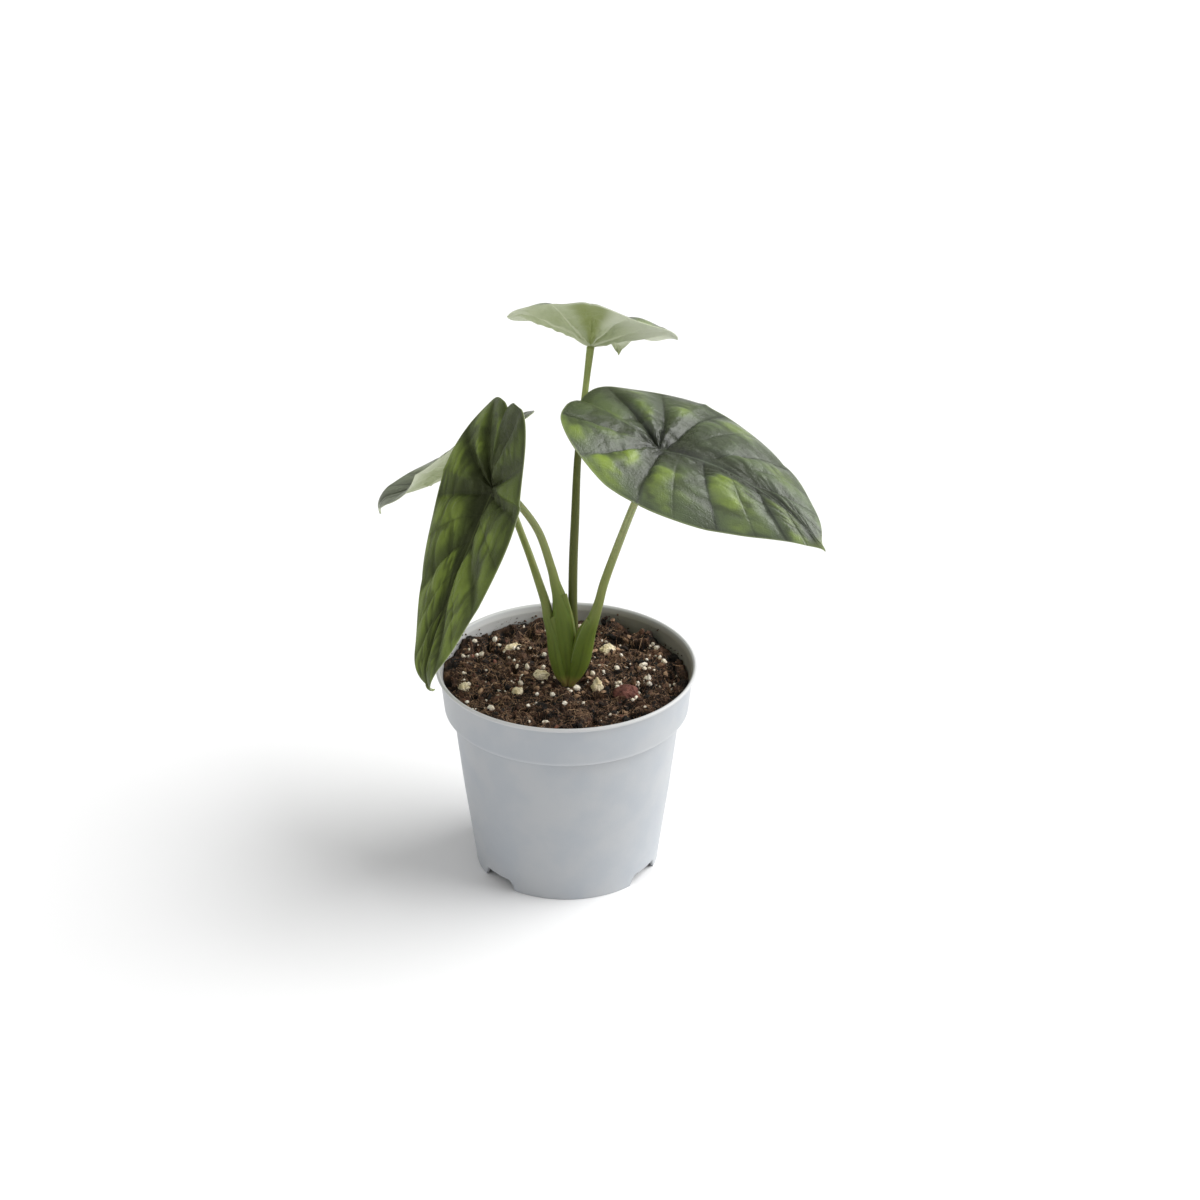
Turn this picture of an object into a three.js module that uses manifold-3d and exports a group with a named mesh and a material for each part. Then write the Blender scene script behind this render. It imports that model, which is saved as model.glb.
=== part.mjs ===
// Potted alocasia sinuata: four peltate leaves on sheathed stalks in a round nursery pot.
// Millimetres, +Z up. The origin is the centre of the pot's underside and the pot's front faces -Y.

import * as THREE from 'three';
import { mergeVertices } from 'three/addons/utils/BufferGeometryUtils.js';
import Module from 'manifold-3d';

// Driving dimensions
const GAP = 0.3; // clearance between neighbouring pieces
const SEED = 7;

const POT = {
  height: 101,
  lip: 60, // outer radius of the lip
  lipWidth: 1.7,
  bandTop: 58.2,
  bandBottom: 56.2,
  bandBottomHeight: 80.2,
  waist: 52.3, // outer radius just under the band
  waistHeight: 78.6,
  belly: 47.7, // outer radius halfway up
  bellyHeight: 40,
  foot: 42.3,
  wall: 1.1,
  floorHeight: 6.7, // top of the raised ring of the floor
  floorThickness: 1.2,
  centreRadius: 26, // middle of the floor, which touches the ground
  sides: 56,
};

// Notches in the foot, as angles from the front towards +X
const NOTCH = { angles: [-48.3, 57.7, 131.7, 237.7], topWidth: 19.5, sideSlope: 4.5, height: 5.4 };
const DRAIN = { count: 8, radius: 3, circle: 35, sides: 10 };

const SOIL = {
  level: 93,
  dip: 1.6, // how much lower the mix lies at the right and at the back
  lumps: 46,
  lumpHeight: 1.1,
  hollow: 2, // depth of the hollow in which the plant stands
  hollowWidth: 9,
  reach: 54.5, // radius of the outermost ring of the top
  sectors: 48,
  rings: 11,
};

// Clods heaped against the wall: centre x, y, then width and height
const CLODS = [
  [34, 35, 6.5, 4.2], [41, 38, 5, 3.8], [-11, 49, 6, 3.8], [20, 48, 5, 4.8], [-46, 30, 8, 5.2],
  [-51, 8, 10, 4.0], [48, 18, 6, 1.8], [-26, 46, 6, 2.6], [-33, -38, 8, 1.4], [8, -44, 9, 1.2],
];

// Stones that lie on the mix: centre x, y, then the three half sizes, then the turn about Z
const STONES = [
  { name: 'pumice_1', x: -12.2, y: 1.1, size: [4.0, 3.4, 3.0], turn: 20 },
  { name: 'pumice_2', x: 19.2, y: 26.3, size: [4.2, 3.6, 3.2], turn: 65 },
  { name: 'pumice_3', x: 14.2, y: -9.4, size: [2.8, 3.6, 4.0], turn: 10 },
  { name: 'pumice_4', x: -25.1, y: 28.3, size: [5.6, 2.6, 2.4], turn: 25 },
  { name: 'pumice_5', x: -47.0, y: -9.5, size: [3.2, 2.6, 2.4], turn: 140 },
  { name: 'pumice_6', x: -22.2, y: -12.5, size: [3.0, 2.6, 2.3], turn: 80 },
];
const BARK = { name: 'bark_chip', x: 27.1, y: -15.6, size: [6.4, 5.0, 4.2], turn: 12 };

const CROWN = { x: 1.2, y: -0.4, top: 89, neck: 5.6, girth: 7.1, bottom: 62, hole: 7.6 };

// Stalk centre lines from the crown to the blade: x, y, z, half width across, half depth
const STALKS = {
  top: [
    [1.8, 2.2, 87.5, 2.2, 2.2],
    [2.6, 2.2, 105, 2.2, 2.2],
    [3.2, 2.5, 120, 2.15, 2.15],
    [3.0, 3.2, 132.7, 2.1, 2.1],
    [3.3, 5.0, 152.4, 2.05, 2.05],
    [4.1, 7.0, 171.8, 1.95, 1.95],
    [5.5, 12.0, 202.2, 1.65, 1.65],
    [9.0, 18.0, 233.2, 1.45, 1.45],
    [11.3, 21.9, 252.1, 1.8, 1.8],
  ],
  right: [
    [2.2, -1.6, 87.5, 1.8, 2.0],
    [2.4, -2.2, 92.6, 2.0, 2.3],
    [4.2, -2.3, 97.4, 3.5, 3.0],
    [6.0, -2.4, 103.4, 4.6, 3.4],
    [7.3, -2.7, 110, 4.8, 3.4],
    [9.2, -3.4, 119, 4.3, 3.0],
    [12.3, -4.4, 127, 2.9, 2.6],
    [14.8, -5.0, 135.6, 2.2, 2.2],
    [17.7, -7.0, 148.5, 2.0, 2.0],
    [24.4, -10.0, 170.5, 1.85, 1.85],
    [30.6, -13.0, 189.8, 1.75, 1.75],
    [36.7, -16.0, 206.3, 1.8, 1.8],
    [41.8, -18.0, 219.7, 2.1, 2.1],
  ],
  left: [
    [0.8, 0.3, 87.5, 2.2, 2.6],
    [0.7, -0.2, 92.6, 2.5, 3.0],
    [0.3, 0.1, 99, 4.6, 4.0],
    [-0.2, 0.2, 108, 5.2, 4.5],
    [-0.7, 0.3, 117, 5.1, 4.4],
    [-1.7, 0.4, 127, 4.6, 4.1],
    [-3.2, 0.4, 136, 3.2, 3.1],
    [-5.0, 0.5, 143, 2.4, 2.4],
    [-6.8, 1.0, 150.9, 2.0, 2.0],
    [-12.3, 2.0, 168.3, 1.8, 1.8],
    [-20.9, 3.5, 181.3, 1.7, 1.7],
    [-26.9, 4.8, 186.1, 1.8, 1.8],
    [-32.5, 5.5, 188.5, 2.0, 2.0],
  ],
  back: [
    [-0.6, -1.4, 87.5, 1.7, 2.0],
    [-0.8, -1.8, 92.6, 1.9, 2.3],
    [-2.7, -1.7, 97.2, 2.9, 3.1],
    [-4.6, -1.2, 106, 3.5, 3.4],
    [-6.0, -0.4, 116, 3.0, 3.0],
    [-8.1, 1.0, 124.5, 2.5, 2.4],
    [-9.4, 2.0, 131.8, 2.2, 2.1],
    [-12.8, 6.0, 141.5, 1.9, 1.9],
    [-16.9, 13.0, 151.2, 1.7, 1.7],
    [-23.0, 25.0, 162.9, 1.6, 1.6],
    [-29.6, 42.0, 174.8, 1.6, 1.6],
    [-34.8, 58.0, 186.5, 1.8, 1.8],
  ],
};
const STALK = { sides: 12, steps: 30 };

// Blades. A blade is drawn flat, x across and y along the midrib from the stalk to the tip, then bent.
// Lengths in millimetres, angles in degrees. fold and curl turn each half up from the midrib and over,
// hook and flick bend the last parts of the midrib, pucker is the height of the bulges between the main
// veins, rollUnder how far the margin drops.
const BLADES = {
  top: {
    joint: [11.3, 21.9, 252.1], ahead: 84.5, behind: 41, halfLeft: 40, halfRight: 39, notch: 0.93,
    lobeLeft: 0.8, lobeRight: 0.9, heading: 89, pitch: -23, roll: 10, sweep: -20, twist: 7, bow: 3,
    hook: -72, flick: 0, rise: 59, sag: -9, foldLeft: [6, 18, 8, -6], foldRight: [-6, 23, 27, 31],
    curlLeft: -13, curlRight: -7, waveLeft: 0.6, phaseLeft: 330, waveRight: 0.5, phaseRight: 54,
    pucker: 3.2, rollUnder: 2,
  },
  right: {
    joint: [41.8, -18.0, 219.7], ahead: 93, behind: 44.5, halfLeft: 39, halfRight: 38.5, notch: 0.98,
    lobeLeft: 0.99, lobeRight: 0.99, heading: -32, pitch: 8, roll: 2, sweep: -6, twist: 12, bow: -46,
    hook: -1, flick: 0, rise: 19, sag: 0, foldLeft: [7, 18, -9, -9], foldRight: [16, 12, -6, -12],
    curlLeft: -21, curlRight: -32, waveLeft: 0.6, phaseLeft: 6, waveRight: 0.5, phaseRight: 40,
    pucker: 3.8, rollUnder: 0,
  },
  left: {
    joint: [-32.5, 5.5, 188.5], ahead: 102, behind: 42.5, halfLeft: 38.5, halfRight: 30.5, notch: 0.9,
    lobeLeft: 1.03, lobeRight: 0.94, heading: 230, pitch: -50, roll: 11, sweep: -3, twist: 0, bow: -18,
    hook: -55, flick: -45, rise: 79, sag: -7, foldLeft: [23, 24, 16, 18], foldRight: [-18, 15, -1, 11],
    curlLeft: -4, curlRight: -10, waveLeft: 0.5, phaseLeft: 4, waveRight: 0.7, phaseRight: 32,
    pucker: 3.8, rollUnder: 0,
  },
  back: {
    joint: [-34.8, 58, 186.5], ahead: 69, behind: 24, halfLeft: 31, halfRight: 25, notch: 0.75,
    lobeLeft: 0.85, lobeRight: 0.94, heading: 177, pitch: -52, roll: 33, sweep: -2, twist: -48, bow: 46,
    hook: -100, flick: 0, rise: 43, sag: -22, foldLeft: [1, 18, 43, 3], foldRight: [47, 38, 34, 11],
    curlLeft: -34, curlRight: -42, waveLeft: 0.4, phaseLeft: 186, waveRight: 0.3, phaseRight: 206,
    pucker: 1.1, rollUnder: 0,
  },
};
const BLADE = {
  halfThickness: 0.45,
  rib: 0.8, // how far the midrib stands out of the underside
  knee: 8, // length over which the sheet bends where the stalk meets it
  waveLength: 2.6, // margin wave, counted in veins
  rowsPerVein: 3,
  columns: 6,
};

// Half outline from the notch round the lobe to the tip: across / half width, along / length
const OUTLINE = [
  [0, -0.86], [0.13, -0.96], [0.35, -1], [0.61, -0.91], [0.83, -0.64], [0.96, -0.28], [1, 0.05],
  [0.965, 0.24], [0.83, 0.45], [0.61, 0.64], [0.37, 0.79], [0.17, 0.9], [0.045, 0.96], [0, 1],
];

// Side veins: start along the midrib, end on the outline, bend towards the tip
const VEINS = [
  [0, 0, 0], [0, 2.1, 0.1], [0, 3.5, 0.15], [0, 4.9, 0.2], [0.03, 6.3, 0.3], [0.13, 7.4, 0.4],
  [0.25, 8.5, 0.5], [0.39, 9.5, 0.5], [0.54, 10.45, 0.5], [0.7, 11.3, 0.5], [0.86, 12.2, 0.4], [1, 13, 0.3],
];

// Main veins: their numbers among the side veins, and the phase of the bulges between them
const MAIN_VEINS = { at: [0, 4 / 3, 8 / 3, 4, 6, 8, 10, 11], phase: [-0.5, 0, 1, 2, 3, 4, 5, 5.5] };

// Shape of the bulges: the lean and sharpness of the main and minor ones, and the minor ones' share
const BULGE = { mainLean: 0.75, mainSharp: 0.95, minorLean: 0.8, minorSharp: 0.9, share: 0.22 };

const COLOURS = {
  pot: 0xc3c8ce, soil: 0x3a2a20, crown: 0x8a7a45, bark: 0x7a4036, pumice: 0xcfc6a8,
  stalkTop: 0x4d5733, stalk: 0x6f8a3f, bladeDark: 0x3f4f38, bladePale: 0x8f9f6a, bladeLeft: 0x455634,
};

// Small maths helpers
const { sin, cos, min, max, abs, exp, sqrt, hypot, PI } = Math;
const rad = THREE.MathUtils.degToRad;
const clamp = THREE.MathUtils.clamp;
const smooth = (from, to, x) => THREE.MathUtils.smoothstep(x, from, to);

function randomFrom(seed) {
  let state = seed;
  return () => {
    state = (state * 16807) % 2147483647;
    return state / 2147483647;
  };
}

// Uniform Catmull-Rom curve through rows of numbers, at knot k
function through(rows, k) {
  const last = rows.length - 1;
  const at = clamp(k, 0, last - 1e-9);
  const i = Math.floor(at);
  const f = at - i;
  return rows[0].map((_, c) => {
    const p1 = rows[i][c];
    const p2 = rows[i + 1][c];
    const p0 = i > 0 ? rows[i - 1][c] : 2 * p1 - p2;
    const p3 = i + 2 <= last ? rows[i + 2][c] : 2 * p2 - p1;
    const a = 2 * p0 - 5 * p1 + 4 * p2 - p3;
    const b = 3 * p1 - p0 - 3 * p2 + p3;
    return 0.5 * (2 * p1 + (p2 - p0) * f + a * f * f + b * f * f * f);
  });
}

// Value at y on straight lines through the pairs (ys, values)
function linear(ys, values, y) {
  if (y <= ys[0]) return values[0];
  for (let i = 1; i < ys.length; i += 1) {
    if (y <= ys[i]) {
      const f = (y - ys[i - 1]) / (ys[i] - ys[i - 1]);
      return values[i - 1] + (values[i] - values[i - 1]) * f;
    }
  }
  return values[values.length - 1];
}

// Closed solids and their cuts
const wasm = await Module();
wasm.setup();

function weld(positions, triangles) {
  const geometry = new THREE.BufferGeometry();
  geometry.setAttribute('position', new THREE.Float32BufferAttribute(positions, 3));
  geometry.setIndex(triangles);
  return dropFlat(mergeVertices(geometry, 1e-4));
}

// Triangles that merging has collapsed to an edge or a point are left out
function dropFlat(geometry) {
  const index = geometry.getIndex().array;
  const kept = [];
  for (let i = 0; i < index.length; i += 3) {
    const [a, b, c] = [index[i], index[i + 1], index[i + 2]];
    if (a !== b && b !== c && c !== a) kept.push(a, b, c);
  }
  geometry.setIndex(kept);
  return geometry;
}

function bare(geometry) {
  const copy = new THREE.BufferGeometry();
  copy.setAttribute('position', geometry.getAttribute('position').clone());
  if (geometry.getIndex()) copy.setIndex(geometry.getIndex().clone());
  return dropFlat(mergeVertices(copy, 1e-4));
}

function toSolid(geometry) {
  const closed = bare(geometry);
  const mesh = new wasm.Mesh({
    numProp: 3,
    vertProperties: new Float32Array(closed.getAttribute('position').array),
    triVerts: new Uint32Array(closed.getIndex().array),
  });
  return new wasm.Manifold(mesh);
}

// Loose scraps that a cut leaves are dropped: the largest piece is the part
function toGeometry(solid) {
  const pieces = solid.decompose();
  const largest = pieces.reduce((best, piece) => (piece.volume() > best.volume() ? piece : best));
  const mesh = largest.getMesh();
  const geometry = new THREE.BufferGeometry();
  geometry.setAttribute('position', new THREE.BufferAttribute(mesh.vertProperties, 3));
  geometry.setIndex(new THREE.BufferAttribute(mesh.triVerts, 1));
  return geometry;
}

function cut(geometry, ...cutters) {
  const solid = cutters.reduce((rest, cutter) => rest.subtract(toSolid(cutter)), toSolid(geometry));
  return toGeometry(solid);
}

// Skin over rings of points, closed to a point at both ends; counter-clockwise rings that rise
function skin(start, rings, end) {
  const points = [start, ...rings.flat(), end];
  const n = rings[0].length;
  const id = (i, j) => 1 + i * n + (j % n);
  const triangles = [];
  for (let j = 0; j < n; j += 1) {
    triangles.push(0, id(0, j + 1), id(0, j));
    triangles.push(points.length - 1, id(rings.length - 1, j), id(rings.length - 1, j + 1));
    for (let i = 0; i + 1 < rings.length; i += 1) {
      triangles.push(id(i, j), id(i, j + 1), id(i + 1, j + 1));
      triangles.push(id(i, j), id(i + 1, j + 1), id(i + 1, j));
    }
  }
  return weld(points.flatMap((p) => [p.x, p.y, p.z]), triangles);
}

// Pot
function potOutside() {
  const p = POT;
  return [
    [p.foot, 0], [p.foot + 0.6, 5.5], [p.belly, p.bellyHeight], [p.waist, p.waistHeight],
    [p.waist + 0.4, p.waistHeight + 0.6], [p.bandBottom - 0.5, p.bandBottomHeight - 0.6],
    [p.bandBottom, p.bandBottomHeight], [p.bandTop, p.height - 2.2], [p.lip - 0.5, p.height - 1.9],
    [p.lip, p.height - 1.3], [p.lip, p.height - 0.6], [p.lip - 0.5, p.height - 0.1], [p.lip - 1.1, p.height],
  ];
}

function potInside() {
  const p = POT;
  return [
    [p.lip - p.lipWidth, p.height - 0.5], [p.bandTop - p.wall, p.height - 3],
    [p.bandBottom - p.wall, p.bandBottomHeight + 1.2], [p.bandBottom - p.wall - 0.5, p.bandBottomHeight + 0.4],
    [p.waist - p.wall + 0.4, p.waistHeight + 1.4], [p.waist - p.wall, p.waistHeight - 0.4],
    [p.belly - p.wall, p.bellyHeight], [p.foot + 0.6 - p.wall, p.floorHeight],
  ];
}

function potInsideRadius(z) {
  const wall = potInside().reverse();
  return linear(wall.map((q) => q[1]), wall.map((q) => q[0]), z);
}

function potProfile() {
  const p = POT;
  const under = p.floorHeight - p.floorThickness;
  return [
    [0, 0], [p.centreRadius, 0], [p.centreRadius + 3, under], [p.foot - 1.3, under], [p.foot - p.wall, 0],
    ...potOutside(), ...potInside(), [p.centreRadius + 2.2, p.floorHeight],
    [p.centreRadius - 0.8, p.floorThickness], [0, p.floorThickness],
  ];
}

function lathe(profile, sides) {
  const points = profile.map(([r, z]) => new THREE.Vector2(r, z));
  return new THREE.LatheGeometry(points, sides).rotateX(PI / 2);
}

// Wedge that cuts one notch: a trapezoid in angle and height, run through the foot
function notchCutter(angle) {
  const corner = (a, r, z) => {
    const turn = rad(angle + a);
    return new THREE.Vector3(r * sin(turn), -r * cos(turn), z);
  };
  const half = NOTCH.topWidth / 2;
  const low = half + NOTCH.sideSlope * 1.2;
  const ring = (r) => [corner(low, r, -1), corner(half, r, NOTCH.height), corner(-half, r, NOTCH.height),
    corner(-low, r, -1)];
  const [inner, outer] = [ring(POT.foot - 3.2), ring(POT.foot + 5)];
  const middle = (corners) => corners.reduce((sum, c) => sum.add(c), new THREE.Vector3()).divideScalar(4);
  return skin(middle(inner), [inner, outer], middle(outer));
}

function drainCutter(i) {
  const angle = rad(NOTCH.angles[i % 4] + (i < 4 ? 9 : -9));
  const drill = new THREE.CylinderGeometry(DRAIN.radius, DRAIN.radius, 6, DRAIN.sides).rotateX(PI / 2);
  return drill.translate(DRAIN.circle * sin(angle), -DRAIN.circle * cos(angle), POT.floorHeight - 1);
}

function potGeometry() {
  const notches = NOTCH.angles.map(notchCutter);
  const drains = Array.from({ length: DRAIN.count }, (_, i) => drainCutter(i));
  return cut(lathe(potProfile(), POT.sides), ...notches, ...drains);
}

// Potting mix, lower at the right and at the back, with low lumps
const lumps = (() => {
  const random = randomFrom(SEED);
  return Array.from({ length: SOIL.lumps }, () => {
    const angle = 2 * PI * random();
    const r = 52 * sqrt(random());
    return { x: r * cos(angle), y: r * sin(angle), width: 3 + 4 * random(), height: 2 * random() - 0.8 };
  });
})();

function soilHeight(x, y) {
  const right = smooth(6, 50, x) * smooth(-55, 30, y);
  const back = 0.25 * smooth(25, 55, y);
  const bell = (dx, dy, width) => exp(-(dx * dx + dy * dy) / (width * width));
  const swell = lumps.reduce((sum, lump) => sum + lump.height * bell(x - lump.x, y - lump.y, lump.width), 0);
  const heap = CLODS.reduce((sum, [cx, cy, width, height]) => sum + height * bell(x - cx, y - cy, width), 0);
  const calm = smooth(7, 14, hypot(x - CROWN.x, y - CROWN.y));
  const hollow = SOIL.hollow * bell(x - CROWN.x, y - CROWN.y, SOIL.hollowWidth);
  return SOIL.level - hollow - SOIL.dip * (right + back) + (SOIL.lumpHeight * swell + heap) * calm;
}

function soilGeometry() {
  const ring = (radius, height) => Array.from({ length: SOIL.sectors }, (_, j) => {
    const angle = (2 * PI * j) / SOIL.sectors;
    const z = typeof height === 'number' ? height : height(radius(0) * cos(angle), radius(0) * sin(angle));
    const r = radius(z);
    return new THREE.Vector3(r * cos(angle), r * sin(angle), z);
  });
  const wall = (z) => potInsideRadius(z) - GAP;
  const rings = [
    ring(() => POT.centreRadius - 1.2, POT.floorThickness + GAP),
    ring(() => POT.centreRadius + 1.9, POT.floorHeight + GAP),
    ...[POT.floorHeight + GAP, POT.bellyHeight, POT.waistHeight - 0.5].map((z) => ring(wall, z)),
    ring(() => wall(POT.waistHeight + 1.3), POT.waistHeight + 1.7),
    ring(() => wall(POT.bandBottomHeight + 1.1), POT.bandBottomHeight + 1.6),
  ];
  const edge = ring((z) => (z > 0 ? wall(z) : SOIL.reach), soilHeight);
  rings.push(edge);
  for (let i = 1; i < SOIL.rings; i += 1) {
    const r = SOIL.reach * (1 - i / SOIL.rings) ** 0.85;
    rings.push(ring(() => r, soilHeight));
  }
  const top = new THREE.Vector3(0, 0, soilHeight(0, 0));
  return skin(new THREE.Vector3(0, 0, POT.floorThickness + GAP), rings, top);
}

// Stones and bark: a ball pushed in and out by a few sines of its direction
function stoneGeometry(stone, grow = 0) {
  const ball = bare(new THREE.IcosahedronGeometry(1, 1));
  const at = ball.getAttribute('position');
  const phase = stone.x + 2 * stone.y;
  for (let i = 0; i < at.count; i += 1) {
    const [x, y, z] = [at.getX(i), at.getY(i), at.getZ(i)];
    const rough = 1 + 0.13 * sin(3.1 * x + phase) * cos(2.7 * y - phase) + 0.09 * sin(5.3 * z + 2 * phase);
    const [a, b, c] = stone.size;
    at.setXYZ(i, x * (a * rough + grow), y * (b * rough + grow), z * (c * rough + grow));
  }
  const seat = soilHeight(stone.x, stone.y) + 0.25 * stone.size[2];
  return ball.rotateZ(rad(stone.turn)).translate(stone.x, stone.y, seat);
}

// Crown: the short base of the plant in its hole
function crownGeometry(grow = 0) {
  const c = CROWN;
  const [girth, top] = [c.girth + grow, c.top + grow];
  const profile = [
    [0, c.bottom], [girth - 3.5, c.bottom + 1.5], [girth - 1, c.bottom + 8], [girth, top - 8],
    [girth - 0.3, top - 3], [c.neck + grow, top], [0, top],
  ];
  return lathe(profile, 24).translate(c.x, c.y, 0);
}

function crownHole() {
  const c = CROWN;
  const depth = POT.height - c.bottom + GAP;
  const drill = new THREE.CylinderGeometry(c.hole, c.hole, depth, 28).rotateX(PI / 2);
  return drill.translate(c.x, c.y, c.bottom - GAP + depth / 2);
}

// Stalk: an oval section run along its centre line, wide at the foot where it is a sheath
function stalkGeometry(rows, grow = 0) {
  const section = (k) => {
    const [x, y, z, across, deep] = through(rows, k);
    const ahead = through(rows, k + 0.05);
    const behind = through(rows, k - 0.05);
    const along = new THREE.Vector3(ahead[0] - behind[0], ahead[1] - behind[1], ahead[2] - behind[2]);
    along.normalize();
    const side = new THREE.Vector3(1, 0, 0).addScaledVector(along, -along.x).normalize();
    const depth = new THREE.Vector3().crossVectors(along, side);
    return Array.from({ length: STALK.sides }, (_, j) => {
      const angle = (2 * PI * j) / STALK.sides;
      return new THREE.Vector3(x, y, z)
        .addScaledVector(side, (across + grow) * cos(angle))
        .addScaledVector(depth, (deep + grow) * sin(angle));
    });
  };
  const last = rows.length - 1;
  const rings = Array.from({ length: STALK.steps + 1 }, (_, i) => section((last * i) / STALK.steps));
  const middle = (row) => new THREE.Vector3(row[0], row[1], row[2]);
  return skin(middle(rows[0]), rings, middle(rows[last]));
}

// Blade: the midrib as a line of frames, one millimetre apart, counted from the stalk
function midrib(leaf) {
  const frames = [];
  const length = leaf.ahead + leaf.behind;
  const steps = Math.ceil(length);
  const step = length / steps;
  const at = new THREE.Vector3();
  let before = null;
  for (let i = 0; i <= steps; i += 1) {
    const y = -leaf.behind + i * step;
    const u = y / leaf.ahead;
    const end = leaf.hook * clamp((u - 0.82) / 0.18, 0, 1) + leaf.flick * clamp((u - 0.93) / 0.07, 0, 1);
    const front = leaf.pitch + leaf.bow * clamp(u, 0, 1) + end;
    const rear = -(leaf.rise + leaf.sag * clamp(-y / leaf.behind, 0, 1));
    const w = smooth(-BLADE.knee, BLADE.knee, y);
    const pitch = rad(w * front + (1 - w) * rear);
    const yaw = rad(leaf.sweep * max(u, 0));
    const roll = rad(leaf.roll + leaf.twist * u);
    const along = new THREE.Vector3(cos(pitch) * cos(yaw), cos(pitch) * sin(yaw), sin(pitch));
    const level = new THREE.Vector3(sin(yaw), -cos(yaw), 0);
    const up = new THREE.Vector3().crossVectors(level, along);
    const right = level.clone().multiplyScalar(cos(roll)).addScaledVector(up, -sin(roll));
    const normal = level.clone().multiplyScalar(sin(roll)).addScaledVector(up, cos(roll));
    if (before) at.addScaledVector(before, step / 2).addScaledVector(along, step / 2);
    before = along;
    frames.push({ y, at: at.clone(), right, normal });
  }
  const zero = frameAt(frames, 0).at;
  frames.forEach((frame) => frame.at.sub(zero));
  return frames;
}

function frameAt(frames, y) {
  const first = frames[0].y;
  const step = frames[1].y - first;
  const k = clamp((y - first) / step, 0, frames.length - 1.000001);
  const i = Math.floor(k);
  const mix = (name) => frames[i][name].clone().lerp(frames[i + 1][name], k - i);
  return { at: mix('at'), right: mix('right'), normal: mix('normal') };
}

// Point of the flat half blade on vein s, a share t of the way from the midrib to the margin
function flatPoint(leaf, side, s, t) {
  const [start, knot, bend] = through(VEINS, s);
  const rows = OUTLINE.map((row) => [...row]);
  rows[0][1] = -leaf.notch;
  rows[1][1] = -(leaf.notch + 1.02) / 2;
  const [across, along] = through(rows, knot);
  const half = side > 0 ? leaf.halfRight : leaf.halfLeft;
  const lobe = side > 0 ? leaf.lobeRight : leaf.lobeLeft;
  const rear = leaf.behind * (1 + (lobe - 1) * smooth(0, 0.35, across));
  const x = max(across, 0) * half * t;
  const from = clamp(start, 0, 1) * leaf.ahead;
  const to = along * (along < 0 ? rear : leaf.ahead);
  return { x, y: from + (to - from) * (t + bend * (t * t - t)) };
}

// Bulges, one for each whole step of the phase, steep next to the vein before and gentle up to the next
function swell(phase, lean, sharp) {
  const part = phase - Math.floor(phase);
  return abs(sin(PI * part ** lean)) ** sharp;
}

// Height over the plain bent sheet: bulges between the main veins, smaller ones between these and the weak
// veins, and a waved margin that may roll under
function relief(leaf, side, s, t) {
  const wave = side > 0 ? leaf.waveRight : leaf.waveLeft;
  const phase = rad(side > 0 ? leaf.phaseRight : leaf.phaseLeft);
  const toTip = VEINS.length - 1 - s;
  const step = linear(MAIN_VEINS.at, MAIN_VEINS.phase, s);
  const ahead = smooth(3.2, 4.6, s);
  const main = swell(step, BULGE.mainLean, BULGE.mainSharp) * (1 - BULGE.share * ahead);
  const minor = swell(2 * step, BULGE.minorLean, BULGE.minorSharp) * smooth(0.15, 0.5, t);
  const arch = (1 - exp(-6 * t)) * (1 - t ** 4) * min(1, toTip / 4);
  const bulge = (main + minor * BULGE.share * (0.2 + ahead)) * arch;
  const swing = sin((2 * PI * s) / BLADE.waveLength + phase) * min(1, s, toTip);
  const roll = leaf.rollUnder * smooth(0.86, 1, t) * smooth(0, 1.5, s) * (1 - smooth(6, 9, s));
  return leaf.pucker * bulge + wave * t * t * swing - roll;
}

function bladePoint(leaf, frames, side, s, t, offset) {
  const { x, y } = flatPoint(leaf, side, s, t);
  const { at, right, normal } = frameAt(frames, y);
  const stations = [-leaf.behind, 0, leaf.ahead / 2, leaf.ahead];
  const fold = rad(linear(stations, side > 0 ? leaf.foldRight : leaf.foldLeft, y));
  const half = side > 0 ? leaf.halfRight : leaf.halfLeft;
  const curl = rad(side > 0 ? leaf.curlRight : leaf.curlLeft) / half;
  const lean = (fold + curl * x) * min(1, x / 3);
  const height = relief(leaf, side, s, t) + offset;
  const across = (sin(fold + curl * x) - sin(fold)) / curl - height * sin(lean);
  const lift = (cos(fold) - cos(fold + curl * x)) / curl + height * cos(lean);
  return at.addScaledVector(right, side * across).addScaledVector(normal, lift);
}

function bladeGeometry(leaf, grow = 0) {
  const frames = midrib(leaf);
  const rows = (VEINS.length - 1) * BLADE.rowsPerVein;
  const columns = BLADE.columns;
  const positions = [];
  const triangles = [];
  const faces = [1, -1];
  for (const side of [1, -1]) {
    const base = positions.length / 3;
    for (const face of faces) {
      for (let i = 0; i <= rows; i += 1) {
        for (let j = 0; j <= columns; j += 1) {
          const rib = face < 0 && j === 0 ? BLADE.rib * min(1, (rows - i) / rows + 0.2) : 0;
          const offset = face * (BLADE.halfThickness + grow + rib);
          const p = bladePoint(leaf, frames, side, i / BLADE.rowsPerVein, j / columns, offset);
          positions.push(p.x, p.y, p.z);
        }
      }
    }
    const id = (face, i, j) => base + (face > 0 ? 0 : (rows + 1) * (columns + 1)) + i * (columns + 1) + j;
    const add = (a, b, c, turned) => (turned ? triangles.push(a, c, b) : triangles.push(a, b, c));
    for (let i = 0; i < rows; i += 1) {
      for (let j = 0; j < columns; j += 1) {
        for (const face of faces) {
          const turned = face * side < 0;
          add(id(face, i, j), id(face, i, j + 1), id(face, i + 1, j + 1), turned);
          add(id(face, i, j), id(face, i + 1, j + 1), id(face, i + 1, j), turned);
        }
      }
      const [above, below] = [id(1, i, columns), id(-1, i, columns)];
      const [aboveNext, belowNext] = [id(1, i + 1, columns), id(-1, i + 1, columns)];
      add(above, below, belowNext, side < 0);
      add(above, belowNext, aboveNext, side < 0);
    }
  }
  return weld(positions, triangles);
}

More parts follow.
